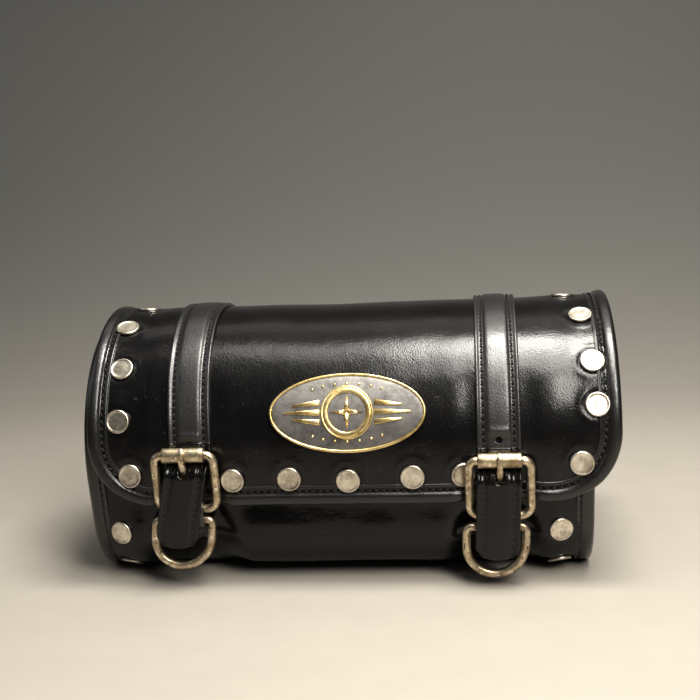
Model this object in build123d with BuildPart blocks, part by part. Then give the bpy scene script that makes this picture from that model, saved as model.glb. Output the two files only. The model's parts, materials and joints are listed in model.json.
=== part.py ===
from build123d import *
from math import acos, asin, cos, degrees, radians, sin
import os

# Barrel-shaped leather bag. Millimetres, +Z up, the bag's length along X, its front towards -Y.
# The origin is on the ground at the middle of the flap's width, under the axis of the barrel.

# ---- driving dimensions ----
barrel_radius = 73.5          # outside of the body leather
barrel_height = 75.0          # height of the barrel's axis
lean = 10.0                   # slope of the lower front and back, degrees
corner_radius = 42.0          # lower corners, from the slope to the flat base
body_left = -155.0
body_right = 137.0
body_leather = 3.0
end_leather = 3.0
lining_cloth = 0.8
mouth_front = 50.0            # angle of the front lip above the axis, degrees
mouth_back = 65.0             # angle of the back lip above the axis, degrees

edge_tape = 1.2               # binding round the two ends of the body
edge_tape_width = 10.0
lip_tape = 0.8
lip_tape_width = 9.0

flap_half_width = 152.0
flap_gap = 1.6                # from the body leather to the flap's lining
flap_lining_cloth = 1.0
flap_leather = 2.5
flap_edge = 49.0              # height of the flap's front edge
flap_corner = 38.0
flap_tape = 1.0
flap_tape_width = 5.8
hinge_height = 80.0           # height of the seam that the flap turns on
seam_gap = 0.6
seam_strip_width = 14.0

strap_width = 24.0
strap_leather = 2.4
strap_centers = {"left": -92.4, "right": 84.6}
tongue_centers = {"left": -95.2, "right": 83.4}
tongue_drops = {"left": 22.5, "right": 25.0}   # tip of the tongue's middle line below the heel bar
strap_end_rise = 38.5         # end of the sewn strap above the buckle's heel bar
spare_hole = 4.0

wire = 5.0
buckle_centers = {"left": -93.6, "right": 84.4}
heel_heights = {"left": 47.7, "right": 41.8}
frame_width = 34.0            # between the centres of the side bars
frame_rise = 32.6             # from the heel bar up to the roller bar
heel_depth = 81.0             # heel bar in front of the barrel's axis
heel_corner = 6.0
roller_corner = 4.5
roller_radius = 4.3
roller_length = 24.2
running_gap = 0.06
free_gap = 0.4

prong_width = 4.0
prong_wall = 1.4
prong_thickness = 2.4
prong_slot = 11.0             # slot in the tongue that the prong comes through

ring_centers = {"left": -97.0, "right": 82.0}
ring_width = 33.2             # between the centres of the ring's sides
ring_height = 27.5            # from the ring's bar to the middle of its arc
ring_corner = 3.0
ring_drop = 7.0               # ring bar below the heel bar
ring_setback = 1.4

chape_width = 18.6
chape_leather = 1.8
chape_slot = 5.2
chape_room = 0.25
rivet_angle = 18.0
rivet_spacing = 10.0
rivet_head = 6.4
rivet_shank = 3.0

stud_radius = 7.0
stud_rim = 0.8
stud_face = 0.7
# Hand-set studs of the flap: place along the length, and angle above the axis in degrees.
row_studs = ((-67.3, -8.2), (-34.5, -8.0), (-0.8, -9.0), (35.8, -7.8), (64.1, -7.4))
column_studs = {
    "left": ((-127.5, -6.0), (-133.8, 17.3), (-133.8, 40.8), (-136.7, 65.6), (-132.5, 92.0), (-134.5, 116.0),
             (-136.0, 139.0)),
    "right": ((129.9, -3.4), (139.1, 20.4), (137.7, 38.9), (133.9, 65.1), (127.0, 93.0), (133.0, 116.5),
              (136.0, 139.0)),
}
body_stud_places = {"left": -137.6, "right": 118.5}
body_stud_angles = (15.0, 52.0)

medal_angle = 19.0
medal_half_length = 44.4
medal_half_height = 22.0
medal_backing = 0.8
medal_plate = 1.4
medal_rim = 1.7
medal_field = 0.3
medal_relief = 0.7

# ---- dimensions that follow ----
body_length = body_right - body_left
corner_place = (barrel_radius - corner_radius - (barrel_height - corner_radius) * sin(radians(lean)))
corner_place = corner_place / cos(radians(lean))
lining_level = flap_gap + flap_lining_cloth
skin_level = lining_level + flap_leather
tape_level = skin_level + flap_tape
strap_level = skin_level + strap_leather
skin_radius = barrel_radius + skin_level
roller_depth = skin_radius + strap_leather + free_gap + roller_radius
rest_half_width = corner_place + (corner_radius + edge_tape) * sin(acos((corner_radius - edge_tape)
                                                                      / (corner_radius + edge_tape)))
reach = 120.0                 # longer than the barrel is deep

os.makedirs("parts", exist_ok=True)


def outline(offset, mode=Mode.ADD):
    """Whole section of the barrel, moved outwards by an offset, in the open YZ sketch."""
    radius = barrel_radius + offset
    corner = corner_radius + offset
    with BuildLine() as edge:
        top = CenterArc((0, barrel_height), radius, -lean, 180 + 2 * lean)
        front = CenterArc((-corner_place, corner_radius), corner, 180 + lean, 90 - lean)
        back = CenterArc((corner_place, corner_radius), corner, 270, 90 - lean)
        Line(top @ 1, front @ 0)
        Line(front @ 1, back @ 0)
        Line(back @ 1, top @ 0)
    make_face(edge.edges(), mode=mode)


def block(low, high, mode=Mode.SUBTRACT):
    """Upright rectangle between two corners of the open sketch."""
    middle = ((low[0] + high[0]) / 2, (low[1] + high[1]) / 2)
    with Locations(middle):
        Rectangle(high[0] - low[0], high[1] - low[1], mode=mode)


def flap_band(inner, outer, start, width, bottom):
    """Band of the flap between two levels over the body leather, from front edge to seam."""
    with BuildPart() as band:
        with BuildSketch(Plane.YZ.offset(start)):
            outline(outer)
            outline(inner, mode=Mode.SUBTRACT)
            block((-reach, -reach), (0, bottom))
            block((0, -reach), (reach, hinge_height))
        extrude(amount=width)
    return band.part


def corner_cutters(half_width, edge, radius):
    """Waste outside the two rounded front corners of a flap layer."""
    with BuildPart() as waste:
        with BuildSketch(Plane.XZ):
            for side in (-1, 1):
                with Locations((side * (half_width - radius / 2 + 1), edge + radius / 2 - 1)):
                    Rectangle(radius + 2, radius + 2)
                with Locations((side * (half_width - radius), edge + radius)):
                    Circle(radius, mode=Mode.SUBTRACT)
        extrude(amount=reach)
    return waste.part


def surface_plane(place, angle, offset):
    """Plane on the barrel's front or top at an angle above the axis, facing outwards."""
    radius = barrel_radius + offset
    out = (0, -cos(radians(angle)), sin(radians(angle)))
    origin = (place, radius * out[1], barrel_height + radius * out[2])
    return Plane(origin=origin, x_dir=(1, 0, 0), z_dir=out)


def corner_plane(place, angle, offset):
    """Plane on the lower front corner at an angle below the level, facing outwards."""
    radius = corner_radius + offset
    out = (0, -cos(radians(angle)), -sin(radians(angle)))
    origin = (place, -corner_place + radius * out[1], corner_radius + radius * out[2])
    return Plane(origin=origin, x_dir=(1, 0, 0), z_dir=out)


def studs(planes):
    """Group of flat nail-head studs, each seated on one plane."""
    with BuildPart() as group:
        with Locations(*planes):
            Cylinder(stud_radius, stud_rim, align=(Align.CENTER, Align.CENTER, Align.MIN))
        raised = [plane.offset(stud_rim) for plane in planes]
        with Locations(*raised):
            Cone(stud_radius, stud_radius - stud_face, stud_face,
                 align=(Align.CENTER, Align.CENTER, Align.MIN))
    return group.part


def save(part, name):
    part.label = name
    export_step(part, "parts/" + name + ".step")


# ---- body ----
with BuildPart() as body_panel:
    with BuildSketch(Plane.YZ.offset(body_left + end_leather)):
        outline(0)
        outline(-body_leather, mode=Mode.SUBTRACT)
        with BuildLine():
            Polyline(
                (0, barrel_height),
                (-reach * cos(radians(mouth_front)), barrel_height + reach * sin(radians(mouth_front))),
                (-reach, barrel_height + 2 * reach),
                (reach, barrel_height + 2 * reach),
                (reach * cos(radians(mouth_back)), barrel_height + reach * sin(radians(mouth_back))),
                close=True,
            )
        make_face(mode=Mode.SUBTRACT)
    extrude(amount=body_length - 2 * end_leather)
save(body_panel.part, "body_panel")

end_starts = {"left": body_left, "right": body_right - end_leather}
for side, start in end_starts.items():
    with BuildPart() as end_panel:
        with BuildSketch(Plane.YZ.offset(start)):
            outline(0)
        extrude(amount=end_leather)
    save(end_panel.part, "end_panel_" + side)

tape_starts = {"left": body_left, "right": body_right - edge_tape_width}
for side, start in tape_starts.items():
    with BuildPart() as end_binding:
        with BuildSketch(Plane.YZ.offset(start)):
            outline(edge_tape)
            outline(0, mode=Mode.SUBTRACT)
            block((-rest_half_width, -reach), (rest_half_width, edge_tape))
        extrude(amount=edge_tape_width)
    save(end_binding.part, "end_binding_" + side)

with BuildPart() as lining:
    with BuildSketch(Plane.YZ.offset(body_left + end_leather)):
        outline(-body_leather)
        outline(-body_leather - lining_cloth, mode=Mode.SUBTRACT)
        block((-reach, barrel_height + barrel_radius * sin(radians(mouth_front)) - lip_tape_width),
              (reach, barrel_height + reach))
    extrude(amount=body_length - 2 * end_leather)
    with BuildSketch(Plane.YZ.offset(body_left + end_leather)):
        outline(-body_leather - lining_cloth)
    extrude(amount=lining_cloth)
    with BuildSketch(Plane.YZ.offset(body_right - end_leather - lining_cloth)):
        outline(-body_leather - lining_cloth)
    extrude(amount=lining_cloth)
save(lining.part, "lining")

with BuildPart() as mouth_binding:
    lip_step = degrees(lip_tape_width / barrel_radius)
    with BuildSketch(Plane.YZ.offset(body_left + edge_tape_width)):
        outline(lip_tape)
        outline(0, mode=Mode.SUBTRACT)
        with BuildLine():
            Polyline(
                (0, barrel_height),
                (-reach * cos(radians(mouth_front)), barrel_height + reach * sin(radians(mouth_front))),
                (-reach * cos(radians(mouth_front - lip_step)),
                 barrel_height + reach * sin(radians(mouth_front - lip_step))),
                close=True,
            )
        make_face(mode=Mode.INTERSECT)
    extrude(amount=body_length - 2 * edge_tape_width)
save(mouth_binding.part, "mouth_binding")

with BuildPart() as seam_strip:
    with BuildSketch(Plane.YZ.offset(body_left + edge_tape_width)):
        outline(skin_level)
        outline(0, mode=Mode.SUBTRACT)
        block((-reach, -reach), (0, 3 * reach))
        block((0, -reach), (reach, hinge_height - seam_gap - seam_strip_width))
        block((0, hinge_height - seam_gap), (reach, 3 * reach))
    extrude(amount=body_length - 2 * edge_tape_width)
save(seam_strip.part, "seam_strip")

for side, place in body_stud_places.items():
    planes = [corner_plane(place, angle, 0) for angle in body_stud_angles]
    save(studs(planes), "body_studs_" + side)

# ---- flap ----
flap_waste = corner_cutters(flap_half_width, flap_edge, flap_corner)
flap_length = 2 * flap_half_width

with BuildPart() as flap_panel:
    add(flap_band(lining_level, skin_level, -flap_half_width, flap_length, flap_edge))
    add(flap_waste, mode=Mode.SUBTRACT)
save(flap_panel.part, "flap_panel")

with BuildPart() as flap_lining:
    add(flap_band(flap_gap, lining_level, -flap_half_width, flap_length, flap_edge))
    add(flap_waste, mode=Mode.SUBTRACT)
save(flap_lining.part, "flap_lining")

with BuildPart() as flap_binding:
    add(flap_band(skin_level, tape_level, -flap_half_width, flap_length, flap_edge))
    add(flap_waste, mode=Mode.SUBTRACT)
    with BuildSketch(Plane.XZ):
        with Locations((0, flap_edge + flap_tape_width)):
            inner_window = Rectangle(flap_length - 2 * flap_tape_width, 2 * reach,
                                     align=(Align.CENTER, Align.MIN))
        fillet(inner_window.vertices().group_by(Axis.Y)[0], flap_corner - flap_tape_width)
    extrude(amount=reach, both=True, mode=Mode.SUBTRACT)
save(flap_binding.part, "flap_binding")

stud_groups = {"front": row_studs, "left": column_studs["left"], "right": column_studs["right"]}
for group_name, places in stud_groups.items():
    planes = [surface_plane(place, angle, skin_level) for place, angle in places]
    save(studs(planes), "flap_studs_" + group_name)

# ---- medallion ----
medal_plane = surface_plane(0, medal_angle, -barrel_radius / 2)


def medal_layer(low, high, half_length, half_height, hole=None):
    """Curved oval layer of the medallion between two levels over the flap's skin."""
    with BuildPart() as layer:
        with BuildSketch(Plane.YZ.offset(-half_length - 1)):
            outline(skin_level + high)
            outline(skin_level + low, mode=Mode.SUBTRACT)
        extrude(amount=2 * half_length + 2)
        with BuildSketch(medal_plane):
            Ellipse(half_length, half_height)
            if hole:
                Ellipse(half_length - hole, half_height - hole, mode=Mode.SUBTRACT)
        extrude(amount=reach, mode=Mode.INTERSECT)
    return layer.part


plate_top = medal_backing + medal_plate
field_top = plate_top + medal_field
save(medal_layer(0, medal_backing, medal_half_length - 1, medal_half_height - 1), "medal_backing")
save(medal_layer(medal_backing, plate_top, medal_half_length, medal_half_height), "medal_plate")
save(medal_layer(plate_top, field_top + medal_relief, medal_half_length, medal_half_height,
                 hole=medal_rim), "medal_rim")
save(medal_layer(plate_top, field_top, medal_half_length - medal_rim,
                 medal_half_height - medal_rim), "medal_field")

with BuildPart() as medal_emblem:
    with BuildSketch(Plane.YZ.offset(-medal_half_length)):
        outline(skin_level + field_top + medal_relief)
        outline(skin_level + field_top, mode=Mode.SUBTRACT)
    extrude(amount=2 * medal_half_length)
    with BuildSketch(medal_plane):
        Circle(medal_half_height * 0.62)
        Circle(medal_half_height * 0.52, mode=Mode.SUBTRACT)
        for quarter in range(4):
            with BuildLine():
                Polyline(
                    (0, 0),
                    (2.2 * cos(radians(90 * quarter - 45)), 2.2 * sin(radians(90 * quarter - 45))),
                    (9.6 * cos(radians(90 * quarter)), 9.6 * sin(radians(90 * quarter))),
                    (2.2 * cos(radians(90 * quarter + 45)), 2.2 * sin(radians(90 * quarter + 45))),
                    close=True,
                )
            make_face()
        for side in (-1, 1):
            for bar in (-1, 0, 1):
                with BuildLine():
                    Polyline(
                        (side * 15.5, bar * 5.0 - 1.1),
                        (side * 15.5, bar * 5.0 + 1.1),
                        (side * (36.0 - 5.0 * abs(bar)), bar * 3.6),
                        close=True,
                    )
                make_face()
    extrude(amount=reach, mode=Mode.INTERSECT)
save(medal_emblem.part, "medal_emblem")

# ---- straps, buckles and rings, one set each side ----
for side, center in buckle_centers.items():
    strap_center = strap_centers[side]
    tongue_center = tongue_centers[side]
    heel = (-heel_depth, heel_heights[side])
    roller = (-roller_depth, heel[1] + frame_rise)
    ring_bar = (heel[0] + ring_setback, heel[1] - ring_drop)
    strap_end = heel[1] + strap_end_rise

    with BuildPart() as strap:
        add(flap_band(skin_level, strap_level, strap_center - strap_width / 2, strap_width, strap_end))
        hole_angle = degrees(asin((strap_end + spare_hole - barrel_height) / skin_radius))
        with BuildSketch(surface_plane(strap_center, hole_angle, skin_level - 1)):
            Circle(spare_hole / 2)
        extrude(amount=strap_leather + 2, mode=Mode.SUBTRACT)
    save(strap.part, "strap_" + side)

    # Free end of the strap: behind the roller, then out over the prong and the heel bar.
    behind = -(skin_radius + strap_leather / 2)
    hang = heel[0] - wire / 2 - chape_room - chape_leather - free_gap - strap_leather / 2
    with BuildPart() as tongue:
        with BuildSketch(Plane.YZ.offset(tongue_center - strap_width / 2)):
            with BuildLine():
                FilletPolyline(
                    (behind, strap_end),
                    (behind, roller[1] - roller_radius - 0.5),
                    (hang, roller[1] - roller_radius - 7.5),
                    (hang, heel[1] - 4.0),
                    (hang + 1.5, heel[1] - tongue_drops[side]),
                    radius=5.0,
                )
            trace(line_width=strap_leather)
            outline(skin_level, mode=Mode.SUBTRACT)
        extrude(amount=strap_width)
        tip = tongue.faces().sort_by(Axis.Z)[0]
        fillet(tip.edges().sort_by(SortBy.LENGTH)[0:2], 7.0)
        with BuildSketch(Plane.XZ.offset(skin_radius - strap_leather)):
            with Locations((center, roller[1] - roller_radius - 7.3)):
                SlotOverall(prong_slot, prong_width + 1.6, rotation=90)
        extrude(amount=reach, mode=Mode.SUBTRACT)
    save(tongue.part, "tongue_" + side)

    up = Vector(0, roller[0] - heel[0], frame_rise).normalized()
    facing = Vector(1, 0, 0).cross(up)
    frame_plane = Plane(origin=(center, heel[0], heel[1]), x_dir=(1, 0, 0), z_dir=facing)
    frame_length = Vector(0, roller[0] - heel[0], frame_rise).length
    with BuildSketch(frame_plane) as frame_shape:
        loop = Rectangle(frame_width, frame_length, align=(Align.CENTER, Align.MIN))
        fillet(loop.vertices().group_by(Axis.Y)[0], heel_corner)
        fillet(frame_shape.vertices().group_by(Axis.Y)[-1], roller_corner)
    frame_path = frame_shape.sketch.face().outer_wire()
    with BuildPart() as buckle_frame:
        with BuildSketch(Plane(origin=frame_path @ 0, z_dir=frame_path % 0)):
            Circle(wire / 2)
        sweep(path=frame_path)
    save(buckle_frame.part, "buckle_frame_" + side)

    with BuildPart() as buckle_roller:
        with BuildSketch(Plane.YZ.offset(center - roller_length / 2)):
            with Locations(roller):
                Circle(roller_radius)
                Circle(wire / 2 + running_gap, mode=Mode.SUBTRACT)
        extrude(amount=roller_length)
    save(buckle_roller.part, "buckle_roller_" + side)

    prong_back = roller[0] - roller_radius - 0.3
    prong_line = heel[0] - wire / 2 - running_gap - prong_wall + prong_thickness / 2
    with BuildPart() as buckle_prong:
        with BuildSketch(Plane.YZ.offset(center - prong_width / 2)):
            with Locations(heel):
                Circle(wire / 2 + running_gap + prong_wall)
            with BuildLine():
                FilletPolyline(
                    (prong_line, heel[1]),
                    (prong_line - 0.2, heel[1] + 18.0),
                    (prong_back - prong_thickness / 2, roller[1] - 2.5),
                    (prong_back - prong_thickness / 2, roller[1] + 3.5),
                    radius=4.0,
                )
            trace(line_width=prong_thickness)
            with Locations(heel):
                Circle(wire / 2 + running_gap, mode=Mode.SUBTRACT)
        extrude(amount=prong_width)
    save(buckle_prong.part, "buckle_prong_" + side)

    with BuildPart() as ring:
        with BuildLine(Plane(origin=(ring_centers[side], ring_bar[0], ring_bar[1]), x_dir=(1, 0, 0), z_dir=(0, -1, 0))):
            half = ring_width / 2
            drop = -(ring_height - half)
            arc = CenterArc((0, drop), half, 180, 180)
            top_left = JernArc((-half, -ring_corner), (0, 1), ring_corner, -90)
            top_right = JernArc((half - ring_corner, 0), (1, 0), ring_corner, -90)
            Line(arc @ 0, top_left @ 0)
            Line(top_left @ 1, top_right @ 0)
            Line(top_right @ 1, arc @ 1)
        ring_path = ring.pending_edges_as_wire
        with BuildSketch(Plane(origin=ring_path @ 0, z_dir=ring_path % 0)):
            Circle(wire / 2)
        sweep(path=ring_path)
    save(ring.part, "ring_" + side)

    # Leather loop that holds the heel bar and the ring bar, riveted to the body below them.
    loop_inner = wire / 2 + chape_room
    loop_outer = loop_inner + chape_leather
    bar_gap = (Vector(*ring_bar) - Vector(*heel)).length
    bar_turn = degrees(asin((heel[1] - ring_bar[1]) / bar_gap))
    middle = ((heel[0] + ring_bar[0]) / 2, (heel[1] + ring_bar[1]) / 2)
    tail = corner_plane(center, rivet_angle, chape_leather)
    tail_end = corner_plane(center, rivet_angle + 14.0, chape_leather)
    rivet_planes = []
    for place in (-rivet_spacing / 2, rivet_spacing / 2):
        rivet_planes.append(corner_plane(center + place, rivet_angle + 5.0, 0))
    with BuildPart() as chape:
        with BuildSketch(Plane.YZ.offset(center - chape_width / 2)):
            with Locations(middle):
                SlotCenterToCenter(bar_gap, 2 * loop_outer, rotation=-bar_turn)
            with BuildLine():
                FilletPolyline(
                    (ring_bar[0] + wire / 2, ring_bar[1]),
                    (tail.origin.Y, tail.origin.Z),
                    (tail_end.origin.Y, tail_end.origin.Z),
                    radius=6.0,
                )
            trace(line_width=2 * chape_leather)
            with Locations(middle):
                SlotCenterToCenter(bar_gap, 2 * loop_inner, rotation=-bar_turn, mode=Mode.SUBTRACT)
            outline(0, mode=Mode.SUBTRACT)
        extrude(amount=chape_width)
        with Locations((center, heel[0], heel[1] + 1.0)):
            Box(chape_slot, 4 * loop_outer, 2 * loop_outer, mode=Mode.SUBTRACT)
        with Locations((center, heel[0] - loop_outer, heel[1])):
            Box(chape_slot, 2 * loop_outer, 4 * loop_outer, mode=Mode.SUBTRACT)
        with Locations(*rivet_planes):
            Cylinder(rivet_shank / 2, 6 * chape_leather, mode=Mode.SUBTRACT)
    save(chape.part, "chape_" + side)

    with BuildPart() as rivets:
        with Locations(*rivet_planes):
            Cylinder(rivet_shank / 2, 2 * chape_leather + 0.4,
                     align=(Align.CENTER, Align.CENTER, Align.MIN))
        heads = [plane.offset(2 * chape_leather + 0.4) for plane in rivet_planes]
        with Locations(*heads):
            Cylinder(rivet_head / 2, 1.0, align=(Align.CENTER, Align.CENTER, Align.MIN))
    save(rivets.part, "chape_rivets_" + side)
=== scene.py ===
import json
from math import asin, atan2, ceil, cos, exp, hypot, pi, radians, sin, sqrt, tan
from random import Random

import bmesh
import bpy
from mathutils import Matrix, Vector, noise


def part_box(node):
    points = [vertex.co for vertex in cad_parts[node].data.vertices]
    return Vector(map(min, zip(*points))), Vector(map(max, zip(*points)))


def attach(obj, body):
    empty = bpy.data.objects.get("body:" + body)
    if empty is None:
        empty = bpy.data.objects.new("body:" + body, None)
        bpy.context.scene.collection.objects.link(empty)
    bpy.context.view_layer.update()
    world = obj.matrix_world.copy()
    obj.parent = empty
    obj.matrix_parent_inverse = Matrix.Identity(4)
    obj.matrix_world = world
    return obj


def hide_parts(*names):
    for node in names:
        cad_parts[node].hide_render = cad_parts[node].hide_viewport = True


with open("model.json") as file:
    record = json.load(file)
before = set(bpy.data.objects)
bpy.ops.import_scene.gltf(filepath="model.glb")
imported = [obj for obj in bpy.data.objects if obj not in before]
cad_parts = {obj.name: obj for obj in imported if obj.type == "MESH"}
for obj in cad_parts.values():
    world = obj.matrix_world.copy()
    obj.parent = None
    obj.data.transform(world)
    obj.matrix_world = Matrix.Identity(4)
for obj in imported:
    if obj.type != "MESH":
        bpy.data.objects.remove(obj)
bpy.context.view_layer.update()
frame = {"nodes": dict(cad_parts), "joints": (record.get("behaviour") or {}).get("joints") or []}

# Everything is in metres. Lengths that read more easily in millimetres are written with MM.
MM = 0.001
TURN = 2 * pi


def middle_x(node):
    low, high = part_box(node)
    return (low.x + high.x) / 2


def width_x(node):
    low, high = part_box(node)
    return high.x - low.x


# ---- sizes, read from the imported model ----
end_low, end_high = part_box("end_panel_left")
RADIUS = end_high.y
AXIS = end_high.z - RADIUS
BODY_LEFT = end_low.x
BODY_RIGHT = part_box("end_panel_right")[1].x
# The front leans in below the axis by this angle, and turns under at this radius.
LEAN = radians(10)
CORNER = 42 * MM
CORNER_Y = (RADIUS - CORNER - (AXIS - CORNER) * sin(LEAN)) / cos(LEAN)
flap_low, flap_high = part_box("flap_panel")
SKIN = flap_high.z - AXIS - RADIUS
FLAP_HALF = flap_high.x
FLAP_EDGE = flap_low.z
FLAP_CORNER = 38 * MM
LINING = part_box("flap_lining")[1].z - AXIS - RADIUS
LINING_THICK = 1.0 * MM
GAP = LINING - LINING_THICK
JOINTS = {j["name"]: Vector(j["pos_m"]) for j in frame["joints"]}
SIDES = ("left", "right")
STRAP_X = {s: middle_x("strap_" + s) for s in SIDES}
BUCKLE_X = {s: middle_x("buckle_frame_" + s) for s in SIDES}
TONGUE_X = {s: middle_x("tongue_" + s) for s in SIDES}
RING_X = {s: middle_x("ring_" + s) for s in SIDES}
STRAP_END = {s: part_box("strap_" + s)[0].z for s in SIDES}
HEEL = {s: JOINTS["buckle_" + s + "_tilt"] for s in SIDES}
ROLLER = {s: JOINTS["roller_" + s + "_spin"] for s in SIDES}
RING_BAR = {s: JOINTS["ring_" + s + "_swing"] for s in SIDES}
# Room between the side bars of a buckle, which leaves the thickness of its wire.
FRAME_ROOM = 34.0 * MM
WIRE = width_x("buckle_frame_left") - FRAME_ROOM


# ---- the barrel's section ----
SLOPE = hypot(RADIUS * cos(LEAN) - CORNER_Y - CORNER * cos(LEAN),
              AXIS - RADIUS * sin(LEAN) - CORNER + CORNER * sin(LEAN))
CURVE = CORNER * (pi / 2 - LEAN)
S_SLOPE = -RADIUS * LEAN
S_CURVE = S_SLOPE - SLOPE
S_BASE = S_CURVE - CURVE
# Once round the section.
WHOLE = 2 * (RADIUS * (pi / 2 + LEAN) + SLOPE + CURVE + CORNER_Y)


def section(s):
    """Point (y, z) on the body leather and its outward normal. s is 0 at the front, at the axis's height,
    and grows upwards, over the top and down the back."""
    if s > RADIUS * pi / 2:
        y, z, ny, nz = section(RADIUS * pi - s)
        return -y, z, -ny, nz
    if s >= S_SLOPE:
        a = s / RADIUS
        return -RADIUS * cos(a), AXIS + RADIUS * sin(a), -cos(a), sin(a)
    if s >= S_CURVE:
        d = S_SLOPE - s
        return (-RADIUS * cos(LEAN) + d * sin(LEAN), AXIS - RADIUS * sin(LEAN) - d * cos(LEAN),
                -cos(LEAN), -sin(LEAN))
    if s >= S_BASE:
        a = LEAN + (S_CURVE - s) / CORNER
        return -CORNER_Y - CORNER * cos(a), CORNER - CORNER * sin(a), -cos(a), -sin(a)
    return -CORNER_Y + (S_BASE - s), 0.0, 0.0, -1.0


def over(x, s, level):
    """Point at a height above the body leather, with no softness."""
    y, z, ny, nz = section(s)
    return Vector((x, y + ny * level, z + nz * level))


def outward(s):
    ny, nz = section(s)[2:]
    return Vector((0, ny, nz))


def at_height(z, level=0.0):
    """s at the front where the surface at a level is at height z."""
    low, high = S_CURVE, RADIUS * pi / 2
    for step in range(50):
        middle = (low + high) / 2
        if over(0, middle, level).z < z:
            low = middle
        else:
            high = middle
    return (low + high) / 2


def ease(a, b, t):
    """0 before a, 1 after b, and smooth between."""
    t = min(1.0, max(0.0, (t - a) / (b - a)))
    return t * t * (3 - 2 * t)


def bump(t, width):
    """1 at 0, falling away on both sides over a width."""
    return exp(-(t / width) ** 2)


# ---- softness shared by everything sewn to the flap ----
S_EDGE = at_height(FLAP_EDGE, SKIN)
HINGE_Z = 80 * MM
S_HINGE = RADIUS * pi - (HINGE_Z - AXIS)
S_TOP = RADIUS * pi / 2


def near_buckle(x, s):
    """1 where a buckle works over the flap, 0 away from it."""
    side = max(1 - ease(15 * MM, 26 * MM, abs(x - STRAP_X[k])) for k in SIDES)
    return side * (1 - ease(30 * MM, 52 * MM, s))


def soft(x, s):
    """How far the flap stands proud of its plain shape, in metres."""
    here = Vector((x * 14, s * 14, 3.1))
    wave = noise.noise(here) * 0.9 + noise.noise(here * 2.3 + Vector((5, 1, 0))) * 0.35
    # It rises over the top towards both ends, and sags in the middle.
    rise = 1.9 * ease(95 * MM, 150 * MM, x) * bump(s - S_TOP, 75 * MM)
    rise += 1.0 * ease(120 * MM, 150 * MM, -x) * bump(s - S_TOP + 20 * MM, 60 * MM)
    sag = -0.9 * bump(x + 2 * MM, 48 * MM) * bump(s - S_TOP - 10 * MM, 55 * MM)
    # The panels between the straps and the edges are full, and drop to the line of studs.
    panel = 1.3 * (1 - ease(112 * MM, 131 * MM, abs(x))) - 0.5
    # The lower edge stands off the body.
    flare = 2.0 * (1 - ease(0, 30 * MM, s - S_EDGE))
    edge = 0.5 * (1 - ease(0, 26 * MM, s - S_EDGE)) * noise.noise(Vector((x * 23, 0.4, 0.9)))
    hinge = ease(0, 45 * MM, S_HINGE - s)
    amount = (wave * 0.75 + rise + sag + panel) * hinge + edge + flare
    return max(amount, -0.9) * MM * (1 - near_buckle(x, s))


def on_flap(x, s, level):
    return over(x, s, level + soft(x, s))


# ---- mesh helpers ----
def new_object(name, verts, faces, body, material, replaces=(), slot=None):
    mesh = bpy.data.meshes.new(name)
    mesh.from_pydata([tuple(v) for v in verts], [], faces)
    mesh.validate()
    work = bmesh.new()
    work.from_mesh(mesh)
    bmesh.ops.recalc_face_normals(work, faces=work.faces)
    work.to_mesh(mesh)
    work.free()
    mesh.polygons.foreach_set("use_smooth", [True] * len(mesh.polygons))
    piece = bpy.data.objects.new(name, mesh)
    bpy.context.scene.collection.objects.link(piece)
    mesh.materials.append(material)
    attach(piece, body)
    if replaces:
        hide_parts(*replaces)
    return piece


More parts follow.
